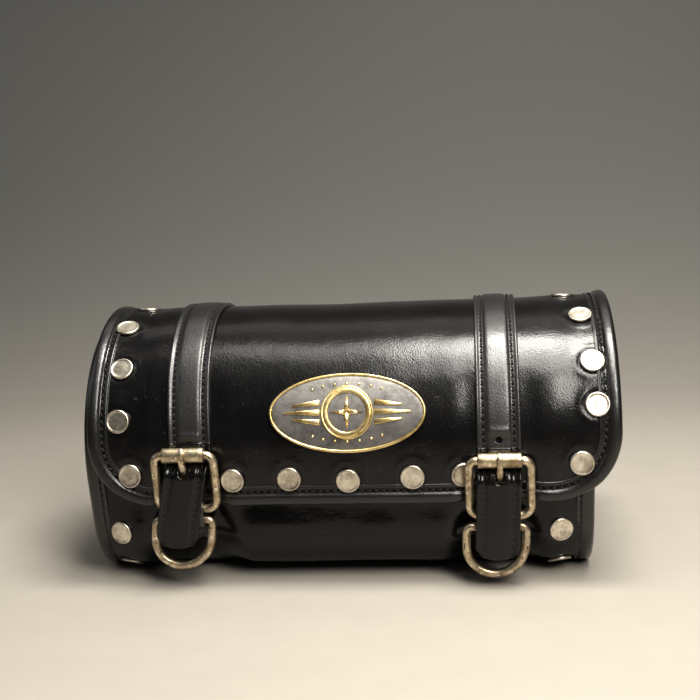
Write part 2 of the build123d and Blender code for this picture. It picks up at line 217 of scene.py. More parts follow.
class Build:
    """Vertices and faces gathered for one piece."""

    def __init__(self):
        self.verts = []
        self.faces = []

    def loft(self, rings, closed=False):
        """Skin between rings of points, with flat ends. closed joins the last ring to the first."""
        start = len(self.verts)
        size = len(rings[0])
        for ring in rings:
            self.verts.extend(ring)
        count = len(rings)
        for i in range(count if closed else count - 1):
            a = start + i * size
            b = start + (i + 1) % count * size
            for j in range(size):
                k = (j + 1) % size
                self.faces.append((a + j, a + k, b + k, b + j))
        if not closed:
            self.faces.append(tuple(range(start, start + size))[::-1])
            self.faces.append(tuple(range(start + (count - 1) * size, start + count * size)))

    def shell(self, columns, rows, outer, inner):
        """Closed skin between two surfaces given at (column, row)."""
        start = len(self.verts)
        for make in (outer, inner):
            for j in range(rows):
                for i in range(columns):
                    self.verts.append(make(i, j))
        half = columns * rows

        def at(i, j, layer):
            return start + layer * half + j * columns + i

        for j in range(rows - 1):
            for i in range(columns - 1):
                self.faces.append((at(i, j, 0), at(i + 1, j, 0), at(i + 1, j + 1, 0), at(i, j + 1, 0)))
                self.faces.append((at(i, j, 1), at(i, j + 1, 1), at(i + 1, j + 1, 1), at(i + 1, j, 1)))
        edge = [(i, 0) for i in range(columns)] + [(columns - 1, j) for j in range(1, rows)]
        edge += [(i, rows - 1) for i in range(columns - 2, -1, -1)] + [(0, j) for j in range(rows - 2, 0, -1)]
        for (i, j), (k, m) in zip(edge, edge[1:] + edge[:1]):
            self.faces.append((at(i, j, 0), at(i, j, 1), at(k, m, 1), at(k, m, 0)))

    def bar_loop(self, path, radius, hint, wobble, sides=20):
        """Round bar along a closed path, slightly uneven. hint is a direction that is never along it."""
        count = len(path)
        rings = []
        for i, p in enumerate(path):
            along = (path[(i + 1) % count] - path[i - 1]).normalized()
            side = (hint - along * hint.dot(along)).normalized()
            up = along.cross(side)
            ring = []
            for k in range(sides):
                a = TURN * k / sides
                d = side * cos(a) + up * sin(a)
                q = p + d * radius
                ring.append(q + d.normalized() * noise.noise(q * 160) * wobble)
            rings.append(ring)
        self.loft(rings, closed=True)

    def lathe(self, profile, matrix, segments=40):
        """profile is (radius, height) pairs from the outside bottom to the middle of the top."""
        rings = []
        for r, h in profile:
            rings.append([matrix @ Vector((r * cos(TURN * k / segments), r * sin(TURN * k / segments), h))
                          for k in range(segments)])
        self.loft(rings)

    def stitch(self, a, b, normal, radius):
        """One thread lying from a to b, dipping into the leather at both ends."""
        along = b - a
        side = along.cross(normal).normalized()
        rings = []
        steps = 6
        for i in range(steps + 1):
            t = i / steps
            arch = sin(pi * t)
            p = a + along * t + normal * (radius * (1.5 * arch - 0.9))
            r = radius * (0.55 + 0.45 * sqrt(max(0.0, arch)))
            rings.append([p + side * cos(TURN * k / 8) * r + normal * sin(TURN * k / 8) * r * 0.8
                          for k in range(8)])
        self.loft(rings)

    def done(self, name, body, material, **facts):
        return new_object(name, self.verts, self.faces, body, material, **facts)


def lofted(rings, name, body, material, closed=False, **facts):
    """Piece that is one skin between rings."""
    build = Build()
    build.loft(rings, closed)
    return build.done(name, body, material, **facts)


def fillet_path(points, radii, spacing):
    """Points along a polyline whose corners are rounded."""
    out = [points[0]]
    for i in range(1, len(points) - 1):
        p, q, r = points[i - 1], points[i], points[i + 1]
        a, b = (p - q).normalized(), (r - q).normalized()
        angle = a.angle(b)
        radius = radii[i - 1]
        back = radius / tan(angle / 2)
        centre = q + (a + b).normalized() * (radius / sin(angle / 2))
        start, stop = q + a * back, q + b * back
        sweep = pi - angle
        count = max(2, ceil(sweep * radius / spacing))
        u = (start - centre).normalized()
        axis = (start - centre).cross(stop - centre).normalized()
        for k in range(count + 1):
            out.append(centre + (Matrix.Rotation(sweep * k / count, 3, axis) @ u) * radius)
    out.append(points[-1])
    return spread(out, spacing)


def spread(points, spacing, closed=False):
    """The same line with evenly spaced points."""
    line = list(points) + ([points[0]] if closed else [])
    lengths = [0.0]
    for a, b in zip(line, line[1:]):
        lengths.append(lengths[-1] + (b - a).length)
    count = max(2, round(lengths[-1] / spacing))
    out, k = [], 0
    for i in range(count if closed else count + 1):
        want = lengths[-1] * i / count
        while k < len(line) - 2 and lengths[k + 1] < want:
            k += 1
        step = lengths[k + 1] - lengths[k]
        t = 0 if step < 1e-12 else (want - lengths[k]) / step
        out.append(line[k].lerp(line[k + 1], t))
    return out


def frame_at(origin, normal, turn=0.0):
    """Matrix that stands a lathe's axis on a surface."""
    z = normal.normalized()
    x = Vector((1, 0, 0))
    x = (x - z * x.dot(z)).normalized()
    y = z.cross(x)
    base = Matrix((x, y, z)).transposed().to_4x4()
    base.translation = origin
    return base @ Matrix.Rotation(turn, 4, "Z")


def loose_parts(node):
    """Centres of the separate solids of a CAD node, from its own mesh."""
    mesh = frame["nodes"][node].data
    work = bmesh.new()
    work.from_mesh(mesh)
    bmesh.ops.remove_doubles(work, verts=work.verts, dist=1e-6)
    seen, found = set(), []
    for v in work.verts:
        if v.index in seen:
            continue
        stack, group = [v], []
        seen.add(v.index)
        while stack:
            w = stack.pop()
            group.append(w.co.copy())
            for e in w.link_edges:
                o = e.other_vert(w)
                if o.index not in seen:
                    seen.add(o.index)
                    stack.append(o)
        low = Vector((min(c[k] for c in group) for k in range(3)))
        high = Vector((max(c[k] for c in group) for k in range(3)))
        found.append((low + high) / 2)
    work.free()
    return found


def s_of(point):
    """s of the nearest place on the section, for a point off the body."""
    y, z = point.y, point.z
    a = atan2(z - AXIS, -y)
    if a < -pi / 2:
        a += TURN
    if -LEAN <= a <= pi + LEAN:
        return a * RADIUS
    low, high = S_BASE, S_SLOPE
    return min((low + (high - low) * i / 400 for i in range(401)),
               key=lambda s: hypot(over(0, s, 0).y - y, over(0, s, 0).z - z))


# ---- materials ----
class Nodes:
    """Small helper that makes a node tree."""

    def __init__(self, name):
        self.material = bpy.data.materials.new(name)
        self.material.use_nodes = True
        self.tree = self.material.node_tree
        self.tree.nodes.clear()
        self.out = self.tree.nodes.new("ShaderNodeOutputMaterial")
        self.shader = self.tree.nodes.new("ShaderNodeBsdfPrincipled")
        self.tree.links.new(self.shader.outputs[0], self.out.inputs["Surface"])
        self.place = self.tree.nodes.new("ShaderNodeTexCoord").outputs["Object"]

    def set(self, **values):
        for key, value in values.items():
            self.shader.inputs[key.replace("_", " ")].default_value = value

    def link(self, output, key):
        self.tree.links.new(output, self.shader.inputs[key])

    def node(self, kind, inputs=None, **facts):
        made = self.tree.nodes.new("ShaderNode" + kind)
        for key, value in facts.items():
            setattr(made, key, value)
        for key, value in (inputs or {}).items():
            if isinstance(value, bpy.types.NodeSocket):
                self.tree.links.new(value, made.inputs[key])
            else:
                made.inputs[key].default_value = value
        return made

    def stretched(self, scale):
        return self.node("Mapping", {"Vector": self.place, "Scale": scale}).outputs[0]

    def noise(self, scale, detail=4.0, rough=0.55, where=None, distortion=0.0):
        return self.node("TexNoise", {"Vector": where or self.place, "Scale": scale, "Detail": detail,
                                      "Roughness": rough, "Distortion": distortion}).outputs["Fac"]

    def voronoi(self, scale, feature, where):
        return self.node("TexVoronoi", {"Vector": where, "Scale": scale}, feature=feature).outputs["Distance"]

    def math(self, kind, a, b=0.0, clamp=False):
        return self.node("Math", {0: a, 1: b}, operation=kind, use_clamp=clamp).outputs[0]

    def ramp(self, value, stops):
        made = self.node("ValToRGB", {"Fac": value})
        line = made.color_ramp
        while len(line.elements) < len(stops):
            line.elements.new(0.5)
        for element, (place, colour) in zip(line.elements, stops):
            element.position = place
            element.color = (*colour, 1) if hasattr(colour, "__len__") else (colour, colour, colour, 1)
        return made.outputs["Color"]

    def mix(self, factor, a, b):
        made = self.node("Mix", data_type="RGBA")
        for key, value in (("Factor", factor), ("A", a), ("B", b)):
            socket = [i for i in made.inputs if i.name == key and i.enabled][0]
            if isinstance(value, bpy.types.NodeSocket):
                self.tree.links.new(value, socket)
            else:
                socket.default_value = (*value, 1) if hasattr(value, "__len__") else value
        return [o for o in made.outputs if o.enabled][0]

    def bump(self, height, distance, strength=1.0, normal=None):
        inputs = {"Height": height, "Distance": distance, "Strength": strength}
        if normal is not None:
            inputs["Normal"] = normal
        return self.node("Bump", inputs).outputs[0]


def leather(name, colour, rough, grain=1.0, coat=0.75, streak=1.0, specular=0.22,
            coat_rough=0.13):
    """Glossy finished leather: fine grain, creases, a wavy surface, and hair scratches."""
    m = Nodes(name)
    wide = m.noise(9.0, 3.0)
    patch = m.noise(38.0, 5.0, 0.6)
    fine = m.noise(2600.0, 3.0, 0.7)
    cells = m.voronoi(1500.0, "SMOOTH_F1", m.node(
        "Mapping", {"Vector": m.place, "Scale": (1.0, 0.8, 0.8)}).outputs[0])
    down = m.noise(260.0, 4.0, 0.62, where=m.stretched((1.0, 0.16, 0.16)))
    hair = m.noise(900.0, 2.0, 0.5, where=m.stretched((1.0, 0.05, 0.03)), distortion=0.4)
    crease = m.voronoi(95.0, "DISTANCE_TO_EDGE", m.node(
        "Mapping", {"Vector": m.place, "Rotation": (0.3, 0.2, 0.5), "Scale": (1.0, 1.35, 0.8)}).outputs[0])
    scratch = m.ramp(hair, [(0.0, 0.0), (0.70, 0.0), (0.74, 1.0), (1.0, 1.0)])
    spots = m.ramp(m.noise(420.0, 2.0, 0.5), [(0.0, 0.0), (0.69, 0.0), (0.76, 1.0), (1.0, 1.0)])
    shade = m.ramp(patch, [(0.25, [c * 0.72 for c in colour]), (0.55, colour),
                           (0.85, [c * 1.7 for c in colour])])
    worn = m.mix(m.math("MULTIPLY", scratch, 0.05), shade, (0.20, 0.19, 0.17))
    dusty = m.mix(m.math("MULTIPLY", spots, 0.0875), worn, (0.32, 0.30, 0.26))
    m.link(dusty, "Base Color")
    base = m.math("MULTIPLY_ADD", fine, 0.08 * grain)
    base.node.inputs[2].default_value = rough - 0.04 * grain
    rougher = m.math("ADD", base, m.math("MULTIPLY", m.math("SUBTRACT", patch, 0.5), 0.22))
    rougher = m.math("ADD", rougher, m.math("MULTIPLY", scratch, 0.10), clamp=True)
    m.link(rougher, "Roughness")
    m.set(Specular_IOR_Level=specular, Coat_Weight=coat, Coat_Roughness=coat_rough, Coat_IOR=1.42)
    n = m.bump(wide, 2.6 * MM, 0.6)
    n = m.bump(patch, 0.75 * MM, 0.6, n)
    n = m.bump(crease, 0.10 * MM, 0.20 * grain, n)
    n = m.bump(down, 0.09 * MM, 0.55 * streak, n)
    n = m.bump(cells, 0.13 * MM, 0.8 * grain, n)
    n = m.bump(fine, 0.07 * MM, 0.8 * grain, n)
    m.link(n, "Normal")
    n = m.bump(wide, 2.6 * MM, 0.6)
    n = m.bump(patch, 0.75 * MM, 0.55, n)
    n = m.bump(down, 0.05 * MM, 0.5 * streak, n)
    n = m.bump(cells, 0.09 * MM, 0.7 * grain, n)
    n = m.bump(fine, 0.04 * MM, 0.6 * grain, n)
    m.link(n, "Coat Normal")
    return m.material


def metal(name, dark, base, bright, rough, pits=1.0, wear=1.0):
    """Plated metal gone uneven: tarnish in patches, small pits, bright worn spots."""
    m = Nodes(name)
    cloud = m.noise(130.0, 6.0, 0.62)
    grit = m.noise(900.0, 4.0, 0.7)
    pit = m.ramp(m.noise(620.0, 3.0, 0.6), [(0.0, 1.0), (0.34, 1.0), (0.41, 0.0), (1.0, 0.0)])
    rubbed = m.ramp(m.noise(210.0, 5.0, 0.7), [(0.0, 0.0), (0.52, 0.0), (0.63, 1.0), (1.0, 1.0)])
    colour = m.ramp(cloud, [(0.28, dark), (0.52, base), (0.78, [min(1, c * 1.25) for c in base])])
    colour = m.mix(m.math("MULTIPLY", rubbed, 0.75 * wear), colour, bright)
    colour = m.mix(m.math("MULTIPLY", pit, 0.85 * pits), colour, [c * 0.25 for c in dark])
    m.link(colour, "Base Color")
    m.set(Metallic=1.0)
    r = m.math("MULTIPLY_ADD", grit, 0.22)
    r.node.inputs[2].default_value = rough - 0.11
    r = m.math("ADD", r, m.math("MULTIPLY", pit, 0.25 * pits))
    r = m.math("SUBTRACT", r, m.math("MULTIPLY", rubbed, 0.10 * wear), clamp=True)
    m.link(r, "Roughness")
    n = m.bump(cloud, 0.30 * MM, 0.35)
    n = m.bump(grit, 0.05 * MM, 0.40, n)
    n = m.bump(m.math("SUBTRACT", 1.0, pit), 0.10 * MM, 0.5 * pits, n)
    m.link(n, "Normal")
    return m.material


def thread(name, colour):
    m = Nodes(name)
    twist = m.node("TexWave", {"Vector": m.place, "Scale": 900.0, "Distortion": 1.5, "Detail": 1.0},
                   wave_type="BANDS", bands_direction="DIAGONAL").outputs["Fac"]
    fuzz = m.noise(3000.0, 3.0, 0.7)
    m.link(m.ramp(fuzz, [(0.2, [c * 0.6 for c in colour]), (0.8, [c * 1.6 for c in colour])]), "Base Color")
    m.set(Roughness=0.55, Specular_IOR_Level=0.4)
    m.link(m.bump(fuzz, 0.05 * MM, 0.4, m.bump(twist, 0.10 * MM, 0.8)), "Normal")
    return m.material


def cloth(name, colour):
    """Plain woven lining."""
    m = Nodes(name)
    across = m.node("TexWave", {"Vector": m.place, "Scale": 420.0, "Distortion": 0.6, "Detail": 1.0},
                    wave_type="BANDS", bands_direction="X").outputs["Fac"]
    along = m.node("TexWave", {"Vector": m.place, "Scale": 420.0, "Distortion": 0.6, "Detail": 1.0},
                   wave_type="BANDS", bands_direction="DIAGONAL").outputs["Fac"]
    weave = m.math("MAXIMUM", across, along)
    slub = m.noise(70.0, 5.0, 0.6)
    shade = m.ramp(m.math("ADD", m.math("MULTIPLY", weave, 0.5), m.math("MULTIPLY", slub, 0.5)),
                   [(0.2, [c * 0.5 for c in colour]), (0.8, [c * 1.3 for c in colour])])
    m.link(shade, "Base Color")
    m.set(Roughness=0.85, Specular_IOR_Level=0.25, Sheen_Weight=0.15)
    m.link(m.bump(weave, 0.25 * MM, 0.8, m.bump(slub, 0.5 * MM, 0.3)), "Normal")
    return m.material


BLACK = leather("leather_black", (0.0042, 0.0039, 0.0041), 0.32, specular=0.15)
BODY = leather("leather_body", (0.0035, 0.0033, 0.0034), 0.30, grain=0.45, coat=0.9, specular=0.07,
               coat_rough=0.06)
TONGUE = leather("leather_tongue", (0.0046, 0.0042, 0.0041), 0.36, grain=0.6, coat=0.85, streak=0.5,
                 specular=0.12, coat_rough=0.09)
STRAP = leather("leather_strap", (0.0058, 0.0052, 0.0050), 0.47, grain=0.9, streak=0.8,
                specular=0.75, coat_rough=0.22)
ROLL = leather("leather_binding", (0.0052, 0.0048, 0.0046), 0.38, grain=1.0, streak=0.4, specular=0.5)
THREAD = thread("thread_black", (0.013, 0.012, 0.011))
# Near-black, matte leather for the flat discs laid at each stitch hole: painted shade for the dark inside the
# holes.
HOLE_SHADE = leather("stitch_hole_shade", (0.0015, 0.0014, 0.0013), 0.85, coat=0.0)
LINEN = cloth("lining_cloth", (0.030, 0.030, 0.034))
NICKEL = metal("stud_nickel", (0.32, 0.27, 0.21), (0.64, 0.59, 0.50), (0.84, 0.80, 0.72),
               0.38, pits=0.5, wear=0.6)
BRONZE = metal("hardware_bronze", (0.19, 0.13, 0.085), (0.53, 0.44, 0.31), (0.92, 0.85, 0.70),
               0.40, pits=1.2)
RIVET = metal("rivet_black", (0.012, 0.011, 0.010), (0.035, 0.033, 0.031), (0.10, 0.095, 0.09),
              0.50, wear=0.4)
BRASS = metal("roller_brass", (0.26, 0.18, 0.11), (0.50, 0.43, 0.30), (0.74, 0.68, 0.53),
              0.42, pits=0.9)
GOLD = metal("medal_gold", (0.40, 0.27, 0.10), (0.80, 0.62, 0.30), (0.98, 0.86, 0.55),
             0.38, pits=0.3, wear=0.7)
DARK = metal("medal_dark", (0.13, 0.126, 0.12), (0.25, 0.24, 0.23), (0.36, 0.345, 0.33),
             0.50, pits=0.3, wear=0.5)


# ---- flap ----
def flap_half(t):
    """Half the flap's width at a distance t from its front edge."""
    if t >= FLAP_CORNER:
        return FLAP_HALF
    d = FLAP_CORNER - t
    return FLAP_HALF - FLAP_CORNER + sqrt(max(0.0, FLAP_CORNER ** 2 - d ** 2))


STUD_NODES = ("flap_studs_front", "flap_studs_left", "flap_studs_right")
STUDS = {node: loose_parts(node) for node in STUD_NODES}
STUD_PLACES = [(p.x, s_of(p)) for node in STUD_NODES for p in STUDS[node]]
# Studs by the cells of a grid, so that a place on the leather looks only at those near it.
CELL = 8 * MM
STUD_CELLS = {}
for stud_x, stud_s in STUD_PLACES:
    for i in range(-2, 3):
        for j in range(-2, 3):
            key = (round(stud_x / CELL) + i, round(stud_s / CELL) + j)
            STUD_CELLS.setdefault(key, []).append((stud_x, stud_s))


def pucker(x, s):
    """How the leather is pulled in round each stud, with a slightly five-pointed swelling beyond."""
    total = 0.0
    for stud_x, stud_s in STUD_CELLS.get((round(x / CELL), round(s / CELL)), ()):
        r = hypot(x - stud_x, (s - stud_s) * (RADIUS + SKIN) / RADIUS)
        angle = atan2(s - stud_s, x - stud_x)
        star = 0.75 + 0.25 * cos(5 * angle + stud_x * 900)
        total += -0.55 * bump(r - 6.9 * MM, 1.1 * MM) + 0.45 * star * bump(r - 9.6 * MM, 1.7 * MM)
    return total * MM


def flap_skin():
    """Leather of the flap, and the cloth inside it, with rows closer together at the round corners."""
    build = Build()
    step = 1.5 * MM
    corner_rows = 26
    straight = S_HINGE - S_EDGE - FLAP_CORNER
    count = round(straight / step)
    rows = [FLAP_CORNER * (1 - cos(radians(90) * k / corner_rows)) for k in range(corner_rows)]
    rows += [FLAP_CORNER + straight * k / count for k in range(count + 1)]
    columns = 2 * round(FLAP_HALF / step) + 1

    def place(i, j, level, fine):
        t = rows[j]
        x = flap_half(t) * (2 * i / (columns - 1) - 1)
        s = S_EDGE + t
        return on_flap(x, s, level + (pucker(x, s) if fine else 0))

    build.shell(columns, len(rows), lambda i, j: place(i, j, SKIN, True),
                lambda i, j: place(i, j, LINING, False))
    build.done("flap_skin", "flap", BLACK, replaces=["flap_panel"], slot="leather")
    build = Build()
    build.shell(columns // 3 + 1, len(rows),
                lambda i, j: place(min(columns - 1, i * 3), j, LINING - 0.02 * MM, False),
                lambda i, j: place(min(columns - 1, i * 3), j, GAP, False))
    build.done("flap_inside", "flap", LINEN, replaces=["flap_lining"], slot="lining")


flap_skin()


# ---- flap binding ----
RIM_STEP = 1.6 * MM


def perimeter():
    """(x, s) points and inward directions along the flap's edge, from the left hinge round to the right."""
    side, corner_steps = [], 40
    s = S_HINGE - 0.3 * MM
    low = S_EDGE + FLAP_CORNER
    count = round((s - low) / RIM_STEP)
    for k in range(count):
        side.append((-FLAP_HALF, s + (low - s) * k / count, 1.0, 0.0))
    for k in range(corner_steps + 1):
        a = radians(90) * k / corner_steps
        side.append((-FLAP_HALF + FLAP_CORNER - FLAP_CORNER * cos(a), low - FLAP_CORNER * sin(a),
                     cos(a), sin(a)))
    middle = 2 * (FLAP_HALF - FLAP_CORNER)
    count = round(middle / RIM_STEP)
    front = [(-FLAP_HALF + FLAP_CORNER + middle * k / count, S_EDGE, 0.0, 1.0) for k in range(1, count)]
    return side + front + [(-x, s, -ix, js) for x, s, ix, js in reversed(side)]


RIM = perimeter()
# Section of the binding: distance in from the edge, and height over the flap's leather, in millimetres.
ROLL_SHAPE = (
    (12.3, -0.2), (12.35, 0.45), (12.1, 0.72), (11.75, 0.68), (11.45, 0.42), (11.15, 0.72), (10.8, 0.78),
    (10.35, 0.5), (9.5, 0.1), (8.4, 0.0), (7.5, 0.1), (7.0, 0.5), (6.6, 1.05), (6.0, 1.5), (5.0, 1.8),
    (3.8, 2.0), (2.5, 2.05), (1.3, 1.8), (0.4, 1.1), (-0.1, 0.1), (-0.3, -0.8), (-0.3, -2.0), (0.1, -3.1),
    (1.1, -3.6), (3.0, -3.65), (7.5, -3.6), (11.5, -3.5), (12.0, -3.3))
# Distance in from the flap's edge of the stitches, in the channel beside the roll.
CHANNEL = 8.6 * MM
# Stitches, in millimetres.
STITCH_PITCH = 4.0
STITCH_LENGTH = 2.9
STITCH_RADIUS = 0.62


def sew(name, body, slot, rows, end=""):
    """Rows of stitches, each with a flat dark disc of painted shade laid where it goes down into the leather.
    A row is its line, a function that gives the leather's normal at a point, and how far each end of a stitch
    is off the line, in millimetres."""
    threads, shade_discs = Build(), Build()
    for line, normal_at, slant in rows:
        even = spread(line, STITCH_PITCH * MM)
        for n, (a, b) in enumerate(zip(even, even[1:])):
            middle = (a + b) / 2
            along = (b - a).normalized()
            normal = normal_at(middle)
            across = normal.cross(along)
            vary = noise.noise(Vector((n * 0.9, len(name + end), 0.5)))
            reach = along * STITCH_LENGTH / 2 * MM * (1 + 0.12 * vary)
            reach = reach + across * slant * MM * (1 + 0.3 * vary)
            threads.stitch(middle - reach, middle + reach, normal, STITCH_RADIUS * MM * (1 + 0.15 * vary))
            # Painted shade: a flat dark disc laid just over the leather at each stitch hole, in place of the
            # shade inside it.
            spot = middle + along * STITCH_PITCH / 2 * MM
            side = across.normalized()
            rings = []
            for share, high in ((1.0, -0.5), (1.0, 0.06), (0.6, 0.10), (0.1, 0.11)):
                rings.append([spot + along * cos(TURN * k / 10) * 0.85 * MM * share
                              + side * sin(TURN * k / 10) * 1.0 * MM * share + normal * high * MM
                              for k in range(10)])
            shade_discs.loft(rings)
    threads.done(name + "_stitches" + end, body, THREAD, slot=slot)
    shade_discs.done(name + "_hole_shade" + end, body, HOLE_SHADE, slot=slot)


def on_section(p):
    """Normal of the leather nearest to a point."""
    return outward(s_of(p))


def binding():
    """Padded roll round the flap's edge, and its stitches."""
    shrink = RADIUS / (RADIUS + SKIN)
    rings = []
    for n, (x, s, ix, js) in enumerate(RIM):
        # Fuller and thinner along its length, and pinched by every stitch.
        puff = 1 + 0.10 * noise.noise(Vector((n * 0.045, 0.3, 0.7)))
        puff += 0.035 * sin(n * RIM_STEP / (STITCH_PITCH * MM) * TURN)
        ring = []
        for d, h in ROLL_SHAPE:
            far = d * MM
            high = SKIN + h * MM * (puff if h > 1.0 else 1.0)
            lift = soft(x + ix * max(far, 0.0), s + js * max(far, 0.0) * shrink)
            ring.append(over(x + ix * far, s + js * far * shrink, high + lift))
        rings.append(ring)
    lofted(rings, "flap_roll", "flap", ROLL, replaces=["flap_binding"], slot="binding")
    line = []
    for x, s, ix, js in RIM:
        in_x, in_s = x + ix * CHANNEL, s + js * CHANNEL * shrink
        line.append(over(in_x, in_s, SKIN + 0.15 * MM + soft(in_x, in_s)))
    sew("flap_roll", "flap", "binding", [(line, on_section, 0.85)])


binding()


# ---- studs ----
# Outline of a flat head with a rolled edge: radius and height, in millimetres.
STUD_PROFILE = ((6.3, -0.6), (6.8, -0.1), (7.0, 0.5), (6.9, 1.05), (6.6, 1.42), (6.2, 1.55), (5.8, 1.48),
                (5.5, 1.3), (5.0, 1.22), (3.5, 1.27), (1.7, 1.33), (0.02, 1.36))


def stud_group(name, places, material, body, lift):
    """Heads at places, each a little tilted. lift(x, s) gives the leather that they sit on."""
    build = Build()
    chance = Random(len(name) * 7 + 3)
    profile = [(r * MM, h * MM) for r, h in STUD_PROFILE]
    for p in places:
        s = s_of(p)
        base = lift(p.x, s)
        near = 3 * MM
        along = lift(p.x, s + near) - lift(p.x, s - near)
        across = lift(p.x + near, s) - lift(p.x - near, s)
        normal = across.cross(along).normalized()
        normal = normal * (1 if normal.dot(outward(s)) > 0 else -1)
        tilt = Vector([chance.uniform(-1, 1) for axis in range(3)])
        normal = normal + tilt * 0.035
        build.lathe(profile, frame_at(base, normal, chance.uniform(0, TURN)), 48)
    build.done(name + "_heads", body, material, replaces=[name], slot="studs")


for stud_node in STUD_NODES:
    stud_group(stud_node, STUDS[stud_node], NICKEL, "flap", lambda x, s: on_flap(x, s, SKIN))


# ---- medallion ----
# Half its length and half its height, and where its middle is.
MEDAL_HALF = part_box("medal_plate")[1].x
MEDAL_TALL = 22.0 * MM
MEDAL_S = radians(19) * RADIUS


def on_medal(x, y, level):
    """Point on the medallion: x and y from its middle, level over the flap's leather."""
    lifted = on_flap(0, MEDAL_S, 0) - over(0, MEDAL_S, 0)
    angle = asin(max(-1, min(1, y / (RADIUS + SKIN))))
    return lifted + over(x, MEDAL_S + angle * RADIUS, SKIN + level)


def oval_layer(name, material, node, profile, slot, segments=120):
    """Oval layer. profile is (inset, level) pairs in millimetres, from the outside bottom inwards."""
    rings = []
    for inset, level in profile:
        a, b = MEDAL_HALF - inset * MM, MEDAL_TALL - inset * MM
        rings.append([on_medal(a * cos(TURN * k / segments), b * sin(TURN * k / segments), level * MM)
                      for k in range(segments)])
    lofted(rings, name, "flap", material, replaces=[node], slot=slot)


def level_face(start, level, steps=9):
    """(inset, level) pairs that run from an inset nearly to the middle of the oval, in millimetres."""
    stop = 21.5
    return [(start + (stop - start) * k / steps, level) for k in range(steps + 1)]


oval_layer("medal_pad", STRAP, "medal_backing",
           [(0.9, -0.3), (0.5, 0.2), (0.9, 0.75)] + level_face(2, 0.78), "medal_pad")
oval_layer("medal_base", DARK, "medal_plate",
           [(0.5, 0.8), (0.0, 1.1), (0.0, 1.9), (0.2, 2.2)] + level_face(1, 2.2), "medal_dark")
oval_layer("medal_face", DARK, "medal_field",
           [(1.5, 2.2), (1.6, 2.45)] + level_face(2, 2.5), "medal_dark")


def medal_ring():
    """Raised rim of the medallion."""
    shape = ((0.1, 1.7), (-0.1, 2.3), (0.1, 2.9), (0.55, 3.2), (1.1, 3.15), (1.55, 2.85), (1.7, 2.3))
    rings = []
    for k in range(144):
        a = TURN * k / 144
        rings.append([on_medal((MEDAL_HALF - i * MM) * cos(a), (MEDAL_TALL - i * MM) * sin(a), h * MM)
                      for i, h in shape])
    lofted(rings, "medal_edge", "flap", GOLD, replaces=["medal_rim"], slot="medal_gold", closed=True)


medal_ring()


def ridge(build, outline, low, high, slope):
    """Raised shape with bevelled sides on the medallion. outline is (x, y) in millimetres, anticlockwise."""
    size = len(outline)
    rings = []
    steps = ((0.0, low), (0.0, high - slope), (slope * 0.5, high - slope * 0.35), (slope * 1.1, high))
    for inset, level in steps:
        ring = []
        for i in range(size):
            p, q, r = Vector(outline[i - 1]), Vector(outline[i]), Vector(outline[(i + 1) % size])
            a, b = (q - p).normalized(), (r - q).normalized()
            n = Vector((-a.y, a.x)) + Vector((-b.y, b.x))
            n = n.normalized() if n.length > 1e-9 else Vector((0, 0))
            lean_in = n * inset / max(0.45, n.dot(Vector((-a.y, a.x))))
            c = q + lean_in
            ring.append(on_medal(c.x * MM, c.y * MM, level * MM))
        rings.append(ring)
    build.loft(rings)


def relief_ring(build, low, top, segments=96):
    """Flat ring with a groove, round the star."""
    tall = MEDAL_TALL / MM - 0.7
    shape = ((0.70, low), (0.695, top - 0.2), (0.675, top), (0.655, top - 0.05), (0.64, top - 0.35),
             (0.625, top - 0.05), (0.60, top), (0.535, top), (0.51, top - 0.2), (0.50, low))
    rings = []
    for k in range(segments):
        a = TURN * k / segments
        rings.append([on_medal(r * tall * cos(a) * MM, r * tall * sin(a) * MM, h * MM) for r, h in shape])
    build.loft(rings, closed=True)


def relief_star(build, low, top):
    """Star of four points, each with a ridge down its middle."""
    reach, waist = 9.6, 2.2
    for quarter in range(4):
        a = radians(90 * quarter)
        tip = Vector((cos(a), sin(a))) * reach
        for sign in (-1, 1):
            b = a + sign * radians(45)
            side = Vector((cos(b), sin(b))) * waist
            corners = [(Vector((0, 0)), top + 0.35), (side, top - 0.35), (tip, top - 0.35)]
            base = len(build.verts)
            for c, h in corners:
                build.verts.append(on_medal(c.x * MM, c.y * MM, h * MM))
            for c, h in corners:
                build.verts.append(on_medal(c.x * MM, c.y * MM, low * MM))
            build.faces.append((base, base + 1, base + 2))
            build.faces.append((base + 3, base + 5, base + 4))
            for i in range(3):
                j = (i + 1) % 3
                build.faces.append((base + i, base + 3 + i, base + 3 + j, base + j))


def relief_bars(build, low, top):
    """Three tapered bars on each side of the ring."""
    for sign in (-1, 1):
        for bar in (-1, 0, 1):
            root, tip = sign * 15.5, sign * (36.0 - 5.0 * abs(bar))
            corners = [(root, bar * 5.4 - 1.7 * sign), (tip, bar * 3.9 - 0.55 * sign),
                       (tip, bar * 3.9 + 0.55 * sign), (root, bar * 5.4 + 1.7 * sign)]
            ridge(build, corners, low, top, 0.4)


def relief_pearls(build, low, top):
    """Row of small domes above and below, between the ring and the rim."""
    for sign in (-1, 1):
        for k in range(7):
            a = radians(54 + 12 * k) * sign
            x, y = 33.5 * cos(a), 15.9 * sin(a)
            base = on_medal(x * MM, y * MM, low * MM)
            up = (on_medal(x * MM, y * MM, top * MM) - base).normalized()
            profile = [(0.9 * MM * cos(b), 0.85 * MM * sin(b)) for b in [pi / 2 * i / 6 for i in range(7)]]
            build.lathe([(max(r, 0.02 * MM), h) for r, h in profile], frame_at(base, up), 16)


def medal_relief():
    """Raised emblem. low and top are its levels over the flap's leather, in millimetres."""
    low, top = 2.35, 3.2
    build = Build()
    relief_ring(build, low, top)
    relief_star(build, low, top)
    relief_bars(build, low, top)
    relief_pearls(build, low, top)
    build.done("medal_relief", "flap", GOLD, replaces=["medal_emblem"], slot="medal_gold")


medal_relief()


# ---- straps ----
# Sideways lean of each strap, in metres for each metre along it.
LEAN_PER_METRE = {"left": 0.036, "right": -0.004}


